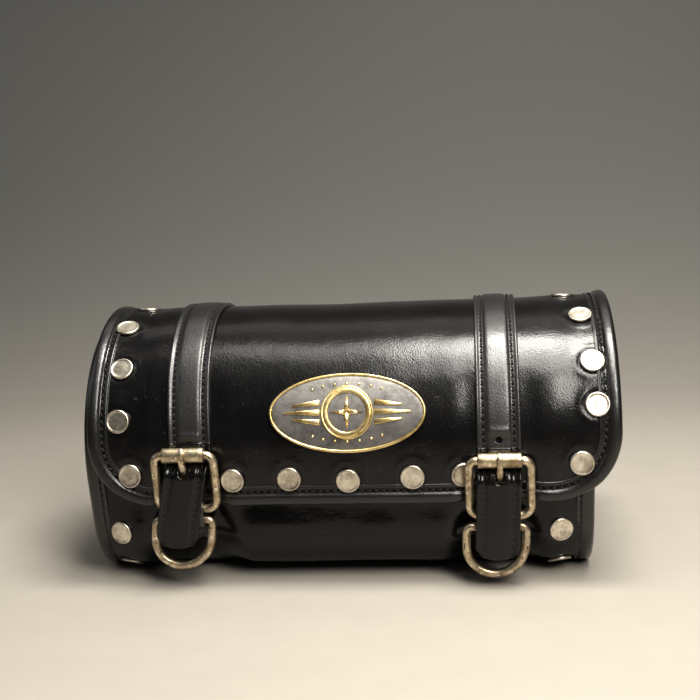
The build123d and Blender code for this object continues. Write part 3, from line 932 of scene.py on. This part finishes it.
def strap_middle(side, s):
    """Middle of a strap, which leans a little and wanders."""
    base = at_height(STRAP_END[side], SKIN)
    far = s - base
    wander = noise.noise(Vector((s * 12, STRAP_X[side] * 20, 4.0))) * 0.5 * MM * ease(0, 60 * MM, far)
    lean_x = LEAN_PER_METRE[side] * (45 * MM - min(far, 90 * MM))
    return STRAP_X[side] + lean_x + wander


# Section of a strap: distance from its middle line and height over what it lies on, in millimetres.
STRAP_TOP = (
    (12.3, 0.9), (12.25, 1.7), (11.9, 2.25), (11.3, 2.42), (10.7, 2.25), (10.2, 1.9), (9.4, 1.72),
    (8.4, 1.66), (7.5, 1.72), (6.9, 2.0), (6.4, 2.45), (5.7, 2.78), (4.6, 2.88), (2.4, 2.92), (0.6, 2.93))
# Distance of each row of stitches from the strap's middle line.
ROW = 8.5 * MM


def strap_ring(position, crown, half=1.0):
    """Points of one strap section. position(across, up) gives the place of a point. crown raises or
    flattens the middle, and half narrows the whole."""
    top = [(a * half, 2.4 + (h - 2.4) * crown if a < 6.5 else h) for a, h in STRAP_TOP]
    points = top + [(-a, h) for a, h in reversed(top)]
    points += [(a * half, 0.0) for a in (-11.9, -6, 0, 6, 11.9)]
    return [position(a * MM, h * MM) for a, h in points]


def cut_hole(piece, build):
    """Takes the shape in build out of the piece."""
    cutter = new_object(piece.name + "_cutter", build.verts, build.faces, "root", THREAD)
    cut = piece.modifiers.new("cut", "BOOLEAN")
    cut.object = cutter
    cut.solver = "EXACT"
    dg = bpy.context.evaluated_depsgraph_get()
    mesh = bpy.data.meshes.new_from_object(piece.evaluated_get(dg))
    piece.modifiers.clear()
    old = piece.data
    piece.data = mesh
    bpy.data.meshes.remove(old)
    bpy.data.objects.remove(cutter)
    mesh.polygons.foreach_set("use_smooth", [True] * len(mesh.polygons))


def sewn_strap(side):
    """Strap sewn over the flap, with a crease and a hole near its lower end."""
    centre = STRAP_X[side]
    start = at_height(STRAP_END[side], SKIN)
    stop = S_HINGE - 0.2 * MM
    step = 0.8 * MM
    count = round((stop - start) / step)
    rings = []
    hole_s = start + 4.2 * MM
    crease_s = start + 9.0 * MM
    for k in range(count + 1):
        s = start + (stop - start) * k / count
        puff = 1 + 0.35 * noise.noise(Vector((s * 30, centre * 10, 0.2)))
        puff += 1.1 * bump(s - crease_s, 1.5 * MM) - 0.8 * bump(s - hole_s, 2.5 * MM)
        middle = strap_middle(side, s)

        def position(across, up, s=s, middle=middle):
            return on_flap(middle + across, s, SKIN - 0.1 * MM + up)

        rings.append(strap_ring(position, puff))
    piece = lofted(rings, "strap_sewn_" + side, "flap", STRAP, replaces=["strap_" + side],
                   slot="strap_leather")
    hole = Build()
    base = over(strap_middle(side, hole_s), hole_s, SKIN - 1 * MM)
    hole.lathe([(1.9 * MM, 0.0), (1.9 * MM, 9 * MM)], frame_at(base, outward(hole_s)), 24)
    cut_hole(piece, hole)
    rows = []
    for sign in (-1, 1):
        line = []
        for k in range(count + 1):
            s = start + (stop - start) * k / count
            line.append(on_flap(strap_middle(side, s) + sign * ROW, s, SKIN + 1.55 * MM))
        rows.append((line, on_section, 0.4 * sign))
    sew("strap", "flap", "strap_leather", rows, "_" + side)


def tongue(side):
    """Free end of a strap: behind the roller, out over the prong, then down in front of the heel bar."""
    heel, roller = HEEL[side], ROLLER[side]
    low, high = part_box("tongue_" + side)
    first_x = strap_middle(side, at_height(STRAP_END[side], SKIN))
    last_x = 2 * TONGUE_X[side] - first_x
    lean_out = low.y + 1.2 * MM
    behind = -(RADIUS + SKIN + 1.2 * MM)
    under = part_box("buckle_roller_" + side)[0].z
    points = [Vector((0, behind, high.z)), Vector((0, behind, under + 0.8 * MM)),
              Vector((0, lean_out - 0.2 * MM, under - 6.2 * MM)),
              Vector((0, lean_out, heel.z - 4 * MM)), Vector((0, lean_out + 1.5 * MM, low.z + 0.6 * MM))]
    spacing = 0.9 * MM
    path = fillet_path(points, [4.0 * MM, 8.0 * MM, 20 * MM], spacing)
    rings = []
    total = len(path)
    middles = [first_x + (last_x - first_x) * ease(0, 1, i / (total - 1)) for i in range(total)]
    for i, p in enumerate(path):
        before, after = path[max(0, i - 1)], path[min(total - 1, i + 1)]
        along = (after - before).normalized()
        normal = Vector((0, along.z, -along.y))
        left = (total - 1 - i) * spacing
        half = 1.0 if left > 8 * MM else 1 - 0.30 * (1 - left / (8 * MM)) ** 2.6
        crown = 0.75 + 0.2 * noise.noise(Vector((i * 0.08, middles[0] * 10, 1.5)))
        crown *= ease(0, 6 * MM, left)

        def position(across, up, p=p, normal=normal, left=left, middle=middles[i]):
            edge = (across / (12 * MM)) ** 2
            rise = 3.2 * MM * edge * (1 - ease(0, 9 * MM, left))
            q = p + normal * (up - 1.2 * MM)
            return Vector((middle + across, q.y - 0.3 * MM * edge, q.z + rise))

        rings.append(strap_ring(position, crown, half))
    piece = lofted(rings, "tongue_free_" + side, "flap", TONGUE, replaces=["tongue_" + side],
                   slot="strap_leather")
    # Slot that the prong comes through, under the roller.
    slot = Build()
    middle_z = under - 5.6 * MM
    slot_radius, slot_half, segments = 2.5 * MM, 0.8 * MM, 32
    rings = []
    for depth in (-RADIUS - 2 * MM, low.y - 8 * MM):
        ring = []
        for k in range(segments):
            a = TURN * k / segments
            push = slot_half if sin(a) > 0 else -slot_half
            ring.append(Vector((BUCKLE_X[side] + slot_radius * cos(a), depth,
                                middle_z + push + slot_radius * sin(a))))
        rings.append(ring)
    slot.loft(rings)
    cut_hole(piece, slot)
    rows = []
    for sign in (-1, 1):
        line, ways = [], []
        for i, p in enumerate(path[:-8]):
            along = (path[i + 1] - path[max(0, i - 1)]).normalized()
            normal = Vector((0, along.z, -along.y))
            line.append(Vector((middles[i] + sign * ROW, 0, 0)) + p + normal * 0.35 * MM)
            ways.append(normal)

        def facing(p, line=line, ways=ways):
            return ways[min(range(len(line)), key=lambda i: (line[i] - p).length)]

        rows.append((line, facing, 0.4 * sign))
    sew("tongue", "flap", "strap_leather", rows, "_" + side)


for side in SIDES:
    sewn_strap(side)
    tongue(side)


# ---- buckles and rings ----
def rounded_loop(corners, radii, spacing):
    """Closed line with rounded corners."""
    count = len(corners)
    out = []
    for i in range(count):
        p, q, r = corners[i - 1], corners[i], corners[(i + 1) % count]
        part = fillet_path([p.lerp(q, 0.5), q, q.lerp(r, 0.5)], [radii[i]], spacing)
        out.extend(part[:-1])
    return spread(out, spacing, closed=True)


# Sideways lean of each ring, for one that has been pulled a little to one side.
RING_LEAN = {"left": 0.085, "right": 0.045}
BAR = WIRE / 2
# Clearance of a roller or a prong round its bar.
PLAY = 0.06 * MM
# Spacing of the points along a bar.
BAR_STEP = 0.7 * MM


def buckle_frame(side):
    centre, heel, roller = BUCKLE_X[side], HEEL[side], ROLLER[side]
    half = width_x("buckle_frame_" + side) / 2 - BAR
    corners = [Vector((centre - half, heel.y, heel.z)), Vector((centre + half, heel.y, heel.z)),
               Vector((centre + half, roller.y, roller.z)), Vector((centre - half, roller.y, roller.z))]
    path = rounded_loop(corners, [6 * MM, 6 * MM, 4.5 * MM, 4.5 * MM], BAR_STEP)
    up = (corners[2] - corners[1]).normalized()
    build = Build()
    build.bar_loop(path, BAR, Vector((1, 0, 0)).cross(up), 0.10 * MM)
    build.done("frame_bar_" + side, "frame_" + side, BRONZE, replaces=["buckle_frame_" + side],
               slot="hardware")


def buckle_roller(side):
    """Tube of rolled sheet, with rounded ends and a seam along it."""
    centre, roller = BUCKLE_X[side], ROLLER[side]
    low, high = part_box("buckle_roller_" + side)
    length = high.x - low.x
    outer = (high.z - low.z) / 2
    inner = BAR + PLAY
    segments, seam_at, seam_deep = 72, 14, 0.30 * MM
    shape = [(inner, 0.0), (outer - 0.5 * MM, 0.0), (outer - 0.12 * MM, 0.18 * MM), (outer, 0.6 * MM)]
    shape += [(outer, length * k / 8) for k in range(1, 8)]
    shape += [(r, length - x) for r, x in reversed(shape[:4])]
    rings = []
    for k in range(segments):
        a = TURN * k / segments
        dent = seam_deep if k == seam_at else 0.0
        ring = []
        for r, x in shape:
            deep = r - (dent if r > inner else 0)
            ring.append(Vector((centre - length / 2 + x, roller.y + deep * cos(a), roller.z + deep * sin(a))))
        rings.append(ring)
    lofted(rings, "roller_tube_" + side, "roller_" + side, BRASS, replaces=["buckle_roller_" + side],
           slot="hardware", closed=True)


def buckle_prong(side):
    """Flat bar coiled round the heel bar, thinner towards its tip, which bends over the roller."""
    centre, heel, roller = BUCKLE_X[side], HEEL[side], ROLLER[side]
    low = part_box("buckle_prong_" + side)[0]
    wall, thick, half_width = 1.4 * MM, 2.4 * MM, 1.95 * MM
    coil = BAR + PLAY + wall / 2
    line = heel.y - (BAR + PLAY + wall - thick / 2)
    front = low.y + thick / 2 + 0.1 * MM
    points = [Vector((centre, line, heel.z)), Vector((centre, line - 0.5 * MM, roller.z - 12.8 * MM)),
              Vector((centre, front, roller.z - 2.0 * MM)), Vector((centre, front, roller.z + 2.6 * MM)),
              Vector((centre, roller.y - 3.6 * MM, roller.z + 4.7 * MM))]
    spacing = 0.8 * MM
    path = [Vector((centre, heel.y + coil * cos(a), heel.z + coil * sin(a)))
            for a in [radians(100 - 14 * k) for k in range(20)]]
    path += fillet_path(points, [5 * MM, 3 * MM, 2.5 * MM], spacing)[1:]
    rings = []
    total = len(path)
    # How square the section is: 1 would be an ellipse.
    power = 0.55
    for i, p in enumerate(path):
        before, after = path[max(0, i - 1)], path[min(total - 1, i + 1)]
        along = (after - before).normalized()
        normal = Vector((1, 0, 0)).cross(along)
        left = (total - 1 - i) * spacing
        coiled = 1 - ease(16, 30, i)
        deep = (wall * coiled + thick * (1 - coiled)) / 2
        deep *= 0.72 + 0.28 * ease(0, 9 * MM, left)
        wide = half_width * (0.72 + 0.28 * ease(0, 16 * MM, left))
        wide *= 1 - 0.35 * (1 - ease(-0.1 * MM, 1.6 * MM, left))
        ring = []
        for k in range(16):
            c, d = cos(TURN * k / 16), sin(TURN * k / 16)
            ring.append(p + Vector((1, 0, 0)) * wide * abs(c) ** power * (1 if c > 0 else -1)
                        + normal * deep * abs(d) ** power * (1 if d > 0 else -1))
        rings.append(ring)
    lofted(rings, "prong_bar_" + side, "prong_" + side, BRONZE, replaces=["buckle_prong_" + side],
           slot="hardware")


def hanging_ring(side):
    """Ring with a straight top bar and a round bottom."""
    centre, top = RING_X[side], RING_BAR[side]
    low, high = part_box("ring_" + side)
    half = (high.x - low.x) / 2 - BAR
    drop = low.z + BAR + half
    line = [Vector((centre + half * cos(a), top.y, drop + half * sin(a)))
            for a in [pi + pi * k / 60 for k in range(61)]]
    corner = [3 * MM]
    middle = Vector((centre, top.y, top.z))
    right_top = fillet_path([line[-1], Vector((centre + half, top.y, top.z)), middle], corner, BAR_STEP)
    left_top = fillet_path([middle, Vector((centre - half, top.y, top.z)), line[0]], corner, BAR_STEP)
    path = spread(line + right_top[1:] + left_top[1:-1], BAR_STEP, closed=True)
    path = [p + Vector((RING_LEAN[side] * (p.z - top.z), 0, 0)) for p in path]
    build = Build()
    build.bar_loop(path, BAR, Vector((0, 1, 0)), 0.12 * MM)
    build.done("ring_bar_" + side, "ring_" + side, BRONZE, replaces=["ring_" + side], slot="hardware")


for side in SIDES:
    buckle_frame(side)
    buckle_roller(side)
    buckle_prong(side)
    hanging_ring(side)


# ---- leather loops behind the tongues ----
# Section of the strip, in halves of its width and in its thickness.
CHAPE_SECTION = ((-1, -0.35), (-1, 0.30), (-0.97, 0.48), (-0.9, 0.5), (-0.3, 0.5), (0.3, 0.5), (0.9, 0.5),
                 (0.97, 0.48), (1, 0.30), (1, -0.35), (0.96, -0.5), (0.3, -0.5), (-0.3, -0.5), (-0.96, -0.5))
# Outline of a rivet's stem and domed head: radius and height, in millimetres.
RIVET_PROFILE = ((1.5, -0.5), (1.5, 3.7), (3.2, 3.8), (3.2, 4.1), (2.9, 4.6), (2.1, 5.0), (1.0, 5.2),
                 (0.02, 5.25))


def chape(side):
    """Strip of leather folded round the heel bar and the ring bar, with its two tails riveted to the body."""
    centre, heel, bar = BUCKLE_X[side], HEEL[side], RING_BAR[side]
    low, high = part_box("chape_" + side)
    half = (high.x - low.x) / 2
    room = WIRE / 2 + 0.25 * MM
    deep = 1.8 * MM
    ring = room + deep / 2
    turn = atan2(heel.z - bar.z, heel.y - bar.y)

    def round_bar(middle, start, stop, count=14):
        return [Vector((0, middle.y + ring * cos(start + (stop - start) * k / count),
                        middle.z + ring * sin(start + (stop - start) * k / count))) for k in range(count + 1)]

    # The tails lie on the body from just under the ring's bar down to the chape's lowest point.
    on_slope = low.z > over(0, S_CURVE, 0).z
    tail_s = at_height(low.z, 0) if on_slope else s_of(Vector((0, low.y, low.z)))
    tail_s = max(tail_s, S_BASE + 3 * MM)
    first_s = S_CURVE - radians(2) * CORNER
    tails = []
    for level in (2.75, 0.92):
        tails.append([over(0, first_s + (tail_s - first_s) * k / 8, level * MM) for k in range(9)])
    front = round_bar(heel, turn, turn + pi / 2) + round_bar(bar, turn + pi / 2, turn + pi - 0.5)
    back = round_bar(heel, turn, turn - pi / 2) + round_bar(bar, turn - pi / 2, turn - pi + 1.1)
    shape = spread(tails[0][::-1] + front[::-1] + back[1:] + tails[1], 0.9 * MM)
    rings = []
    count = len(shape)
    for i, p in enumerate(shape):
        along = (shape[min(count - 1, i + 1)] - shape[max(0, i - 1)]).normalized()
        normal = Vector((0, along.z, -along.y))
        row = []
        for across, up in CHAPE_SECTION:
            row.append(Vector((centre + across * half, p.y, p.z)) + normal * deep * up)
        rings.append(row)
    piece = lofted(rings, "chape_loop_" + side, "root", STRAP, replaces=["chape_" + side],
                   slot="strap_leather")
    # Slot for the prong.
    slot = Build()
    rings = []
    wide = 2.6 * MM
    for z in (heel.z - 2 * ring - 2 * MM, heel.z + 2 * ring):
        rings.append([Vector((centre + a * wide, heel.y + b, z)) for a, b in
                      ((-1, -3 * ring), (1, -3 * ring), (1, 3 * ring if z > heel.z else -0.8 * ring),
                       (-1, 3 * ring if z > heel.z else -0.8 * ring))])
    slot.loft(rings)
    cut_hole(piece, slot)
    heads = Build()
    for place in loose_parts("chape_rivets_" + side):
        s = s_of(place)
        seat = frame_at(over(place.x, s, 0), outward(s))
        heads.lathe([(r * MM, h * MM) for r, h in RIVET_PROFILE], seat, 32)
    heads.done("chape_rivet_heads_" + side, "root", RIVET, replaces=["chape_rivets_" + side], slot="rivets")


for side in SIDES:
    chape(side)


# ---- body ----
def body_soft(x, s):
    """Belly of the body leather, in metres. The base and the ends stay where they are."""
    inside = ease(0, 30 * MM, x - BODY_LEFT) * ease(0, 30 * MM, BODY_RIGHT - x)
    height = max(0.0, section(s)[1])
    free = ease(2 * MM, 16 * MM, height)
    if s < S_TOP:
        under = 1 - ease(S_SLOPE, S_SLOPE + 30 * MM, s)
    else:
        under = 1 - ease(0, 30 * MM, RADIUS * pi - s - S_SLOPE)
    wave = noise.noise(Vector((x * 16, s * 20, 7.7))) * 0.9
    wave += noise.noise(Vector((x * 40, s * 40, 2.2))) * 0.25
    guard = 1.0
    for k in SIDES:
        guard *= ease(11 * MM, 34 * MM, abs(x - BUCKLE_X[k])) if S_BASE < s < 0 else 1.0
    # Under the flap the front hangs nearly upright, and turns in late.
    belly = 7.0 * ease(54 * MM, 23 * MM, height) if s < S_SLOPE else 0.0
    return (max(-1.0, wave) * under + belly) * MM * inside * free * guard


# The mouth runs from here at the front, over the top, to here at the back.
MOUTH_FRONT = radians(50) * RADIUS
MOUTH_BACK = radians(115) * RADIUS


def clear_floor(p):
    """Keeps a point on or above the floor."""
    return Vector((p.x, p.y, max(p.z, 0.0)))


def body_skin():
    """Front, base and back of the body, from one lip of the mouth to the other."""
    build = Build()
    inner_left, inner_right = BODY_LEFT + 3 * MM, BODY_RIGHT - 3 * MM
    columns = 150
    rows = 230

    def place(i, j, level):
        x = inner_left + (inner_right - inner_left) * i / (columns - 1)
        s = MOUTH_FRONT - (WHOLE - (MOUTH_BACK - MOUTH_FRONT)) * j / (rows - 1)
        if s < S_BASE - CORNER_Y:
            s += WHOLE
        return clear_floor(over(x, s, level + body_soft(x, s))) if level == 0 else over(x, s, level)

    build.shell(columns, rows, lambda i, j: place(i, j, 0.0), lambda i, j: place(i, j, -3 * MM))
    build.done("body_skin", "root", BODY, replaces=["body_panel"], slot="leather")


body_skin()
for side in SIDES:
    node = "body_studs_" + side
    stud_group(node, loose_parts(node), NICKEL, "root", lambda x, s: over(x, s, body_soft(x, s)))


# Places round the whole section.
LOOP = [S_BASE - CORNER_Y + WHOLE * k / 220 for k in range(220)]
# Dome of the end: share of the way out from its middle, and height over the end panel in millimetres.
END_DOME = ((1.0, -3.0), (1.0, -0.6), (0.985, -0.1), (0.95, 0.2), (0.90, 0.8), (0.80, 1.9), (0.65, 2.9),
            (0.48, 3.5), (0.30, 3.8), (0.15, 3.9), (0.004, 3.95))
# Section of the end binding: distance in from the end, and height over the leather, in millimetres.
END_ROLL_SHAPE = (
    (9.9, -0.05), (10.0, 0.6), (9.5, 1.1), (8.4, 1.2), (7.6, 0.85), (7.1, 0.7), (6.5, 0.9), (5.2, 1.35),
    (3.4, 1.5), (1.6, 1.3), (0.3, 0.6), (-0.45, -0.5), (-0.75, -1.9), (-0.8, -3.6), (-0.6, -5.4),
    (-0.2, -6.6), (0.5, -6.7), (0.6, -3.0), (1.0, -0.1), (5.0, -0.1))


def end_cap(side):
    """Pillowed end of the body, and the binding round it."""
    sign = -1 if side == "left" else 1
    outer_x = BODY_LEFT if side == "left" else BODY_RIGHT
    middle = Vector((0, 0, AXIS - 6 * MM))
    rings = []
    for share, puff in END_DOME:
        ring = []
        for s in LOOP:
            p = over(0, s, -0.1 * MM)
            q = middle.lerp(Vector((0, p.y, p.z)), share)
            dent = noise.noise(Vector((q.y * 22, q.z * 22, sign * 2.0))) * 0.9 * MM * (1 - share ** 6)
            ring.append(Vector((outer_x + sign * (puff * MM + dent), q.y, q.z)))
        rings.append(ring)
    lofted(rings, "end_cap_" + side, "root", BODY, replaces=["end_panel_" + side], slot="leather")
    # Binding: a strip folded over the corner.
    rings = []
    for s in LOOP:
        rings.append([clear_floor(over(outer_x - sign * d * MM, s, h * MM)) for d, h in END_ROLL_SHAPE])
    lofted(rings, "end_roll_" + side, "root", ROLL, replaces=["end_binding_" + side], slot="binding",
           closed=True)
    start, stop = S_BASE + 12 * MM, RADIUS * pi - S_BASE - 12 * MM
    line = [over(outer_x - sign * 7.1 * MM, start + (stop - start) * k / 300, 0.7 * MM) for k in range(301)]
    sew("end_roll_" + side, "root", "binding", [(line, on_section, 0.45)])


for side in SIDES:
    end_cap(side)


def body_lining():
    """Cloth just inside the body, from one lip of the mouth to the other."""
    left, right = BODY_LEFT + 3.4 * MM, BODY_RIGHT - 3.4 * MM
    outer, inner, lip = -3.05 * MM, -3.85 * MM, 9 * MM
    columns, rows = 80, 150

    def place(i, j, level):
        x = left + (right - left) * i / (columns - 1)
        s = MOUTH_FRONT - lip - (WHOLE - (MOUTH_BACK - MOUTH_FRONT) - lip) * j / (rows - 1)
        if s < S_BASE - CORNER_Y:
            s += WHOLE
        wave = noise.noise(Vector((x * 25, s * 25, 9.0))) * 0.35 * MM
        return over(x, s, level - abs(wave) if level == inner else level)

    build = Build()
    build.shell(columns, rows, lambda i, j: place(i, j, outer), lambda i, j: place(i, j, inner))
    build.done("lining_cloth", "root", LINEN, replaces=["lining"], slot="lining")


# Sections in millimetres: distance back from the lip or down the strip, and height over the leather.
LIP_SHAPE = (
    (9.0, 0.02), (9.0, 0.7), (8.2, 0.9), (5.0, 0.85), (1.5, 1.0), (0.2, 0.7), (-0.6, -0.4), (-0.8, -1.6),
    (-0.5, -3.0), (0.3, -3.9), (1.5, -4.1), (5.0, -4.0), (8.6, -3.95), (9.0, -3.1), (5.0, -3.02),
    (0.05, -3.02), (0.05, 0.02))
SEAM_SHAPE = (
    (0.0, -0.02), (0.0, 3.6), (0.8, 4.9), (2.0, 5.1), (3.0, 4.7), (3.6, 4.55), (4.2, 4.75), (7.0, 5.3),
    (9.6, 4.75), (10.2, 4.55), (10.8, 4.7), (12.0, 5.0), (13.2, 4.6), (14.0, 3.2), (14.0, -0.02))
SEAM_TALL = 14.0
SEAM_ROWS = (3.6, 10.2)


def along_body(margin, count):
    """Places along the body's length, with a margin in millimetres left at each end."""
    room = BODY_RIGHT - BODY_LEFT - 2 * margin * MM
    return [BODY_LEFT + margin * MM + room * k / count for k in range(count + 1)]


def mouth_roll():
    """Binding of the front lip of the mouth."""
    rings = []
    for x in along_body(10.2, 120):
        wave = noise.noise(Vector((x * 30, 1.0, 1.0))) * 0.25
        rings.append([over(x, MOUTH_FRONT - d * MM, (h + (wave if h > 0.3 else 0)) * MM)
                      for d, h in LIP_SHAPE])
    lofted(rings, "mouth_roll", "root", ROLL, replaces=["mouth_binding"], slot="binding")


def seam_band():
    """Strip at the back that holds the flap, with two rows of stitches."""
    low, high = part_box("seam_strip")
    top_s = RADIUS * pi - (high.z - AXIS)
    low_s = RADIUS * pi - (low.z - AXIS)

    def down(d):
        return top_s + (low_s - top_s) * d / SEAM_TALL

    rings = [[over(x, down(d), h * MM) for d, h in SEAM_SHAPE] for x in along_body(10.3, 120)]
    lofted(rings, "seam_band", "root", ROLL, replaces=["seam_strip"], slot="binding")
    rows = [([over(x, down(d), 4.5 * MM) for x in along_body(12, 60)], on_section, 0.45) for d in SEAM_ROWS]
    sew("seam", "root", "binding", rows)


body_lining()
mouth_roll()
seam_band()


# ---- floor, light, camera ----
def floor():
    """Pale floor that sweeps up into a backdrop well behind the bag."""
    front, back, bend, tall, half = -8.0, 1.1, 0.7, 2.6, 12.0
    sink = 0.05 * MM
    line = [(front, 0.0), (0.0, 0.0), (back - bend, 0.0)]
    for k in range(1, 17):
        a = pi / 2 * k / 16
        line.append((back - bend + bend * sin(a), bend - bend * cos(a)))
    line.append((back, tall))
    verts, faces = [], []
    for y, z in line:
        verts += [(-half, y, z - sink), (half, y, z - sink)]
    for k in range(len(line) - 1):
        faces.append((2 * k, 2 * k + 1, 2 * k + 3, 2 * k + 2))
    mesh = bpy.data.meshes.new("floor")
    mesh.from_pydata(verts, [], faces)
    mesh.polygons.foreach_set("use_smooth", [True] * len(mesh.polygons))
    ground = bpy.data.objects.new("floor", mesh)
    bpy.context.scene.collection.objects.link(ground)
    m = Nodes("floor_paint")
    grain = m.noise(40.0, 6.0, 0.6)
    pale = m.ramp(grain, [(0.2, (0.364, 0.340, 0.303)), (0.8, (0.386, 0.361, 0.322))])
    # The paint darkens behind the bag, between these distances back.
    away = m.node("SeparateXYZ", {0: m.place}).outputs["Y"]
    away = m.node("MapRange", {"Value": away, "From Min": 0.22, "From Max": 0.95},
                  interpolation_type="SMOOTHSTEP").outputs["Result"]
    m.link(m.mix(away, pale, (0.20, 0.20, 0.19)), "Base Color")
    m.set(Roughness=0.5, Specular_IOR_Level=0.3)
    mesh.materials.append(m.material)


floor()


def area(name, place, aim, size, brightness, colour):
    """Soft light. brightness is its radiance, so a larger one is no dimmer to look at."""
    lamp = bpy.data.lights.new(name, "AREA")
    lamp.shape = "RECTANGLE"
    lamp.size, lamp.size_y = size
    lamp.energy = brightness * pi * size[0] * size[1]
    lamp.color = colour
    thing = bpy.data.objects.new(name, lamp)
    bpy.context.scene.collection.objects.link(thing)
    thing.location = place
    thing.rotation_mode = "QUATERNION"
    thing.rotation_quaternion = (Vector(aim) - Vector(place)).to_track_quat("-Z", "Y")


WARM = (1.0, 0.965, 0.90)
COOL = (0.97, 0.98, 1.0)
# Name, place, what it is aimed at, size, brightness and colour. The four keys hang overhead and point
# down, aimed 0.1 mm off straight so that the way each is turned about its own axis is definite.
LIGHTS = (
    ("key", (0.19, -0.115, 0.98), (0.19, -0.1149, 0.0), (0.38, 0.27), 34.0, WARM),
    ("key_front", (0.24, -0.43, 0.98), (0.24, -0.4299, 0.0), (0.44, 0.36), 16.0, WARM),
    ("key_left", (-0.13, -0.09, 0.98), (-0.13, -0.0899, 0.0), (0.25, 0.22), 6.5, WARM),
    ("key_far_left", (-0.45, -0.06, 0.98), (-0.45, -0.0599, 0.0), (0.36, 0.14), 0.9, WARM),
    ("right_front", (0.45, -0.82, 0.80), (0.08, -0.06, 0.10), (0.36, 0.52), 19.0, WARM),
    ("side_left", (-1.7, -0.3, 1.2), (0, 0, 0), (1.0, 1.2), 1.2, COOL),
    ("back", (0.0, 1.0, 1.9), (0, 0.2, 0), (2.4, 0.7), 1.2, WARM))
for light in LIGHTS:
    area(*light)

world = bpy.data.worlds.new("studio")
bpy.context.scene.world = world
world.use_nodes = True
sky = world.node_tree.nodes["Background"]
sky.inputs["Color"].default_value = (0.95, 0.97, 1.0, 1)
sky.inputs["Strength"].default_value = 0.05


def camera():
    """Slightly long lens a little right of the middle, looking slightly down and left, and not quite level."""
    place = Vector((0.0697, -0.6880, 0.2343))
    yaw, pitch, roll = radians(6.2), radians(9.0), radians(-2.5)
    forward = Vector((-sin(yaw) * cos(pitch), cos(yaw) * cos(pitch), -sin(pitch)))
    level = Vector((cos(yaw), sin(yaw), 0))
    up = level.cross(forward)
    right = level * cos(roll) + up * sin(roll)
    top = up * cos(roll) - level * sin(roll)
    data = bpy.data.cameras.new("camera")
    data.sensor_width = 36.0
    data.lens = 57.41
    data.clip_start, data.clip_end = 0.01, 50.0
    thing = bpy.data.objects.new("camera", data)
    bpy.context.scene.collection.objects.link(thing)
    base = Matrix((right, top, -forward)).transposed().to_4x4()
    base.translation = place
    thing.matrix_world = base
    bpy.context.scene.camera = thing


camera()
bpy.context.scene.view_settings.view_transform = "Standard"
bpy.context.scene.view_settings.gamma = 0.85
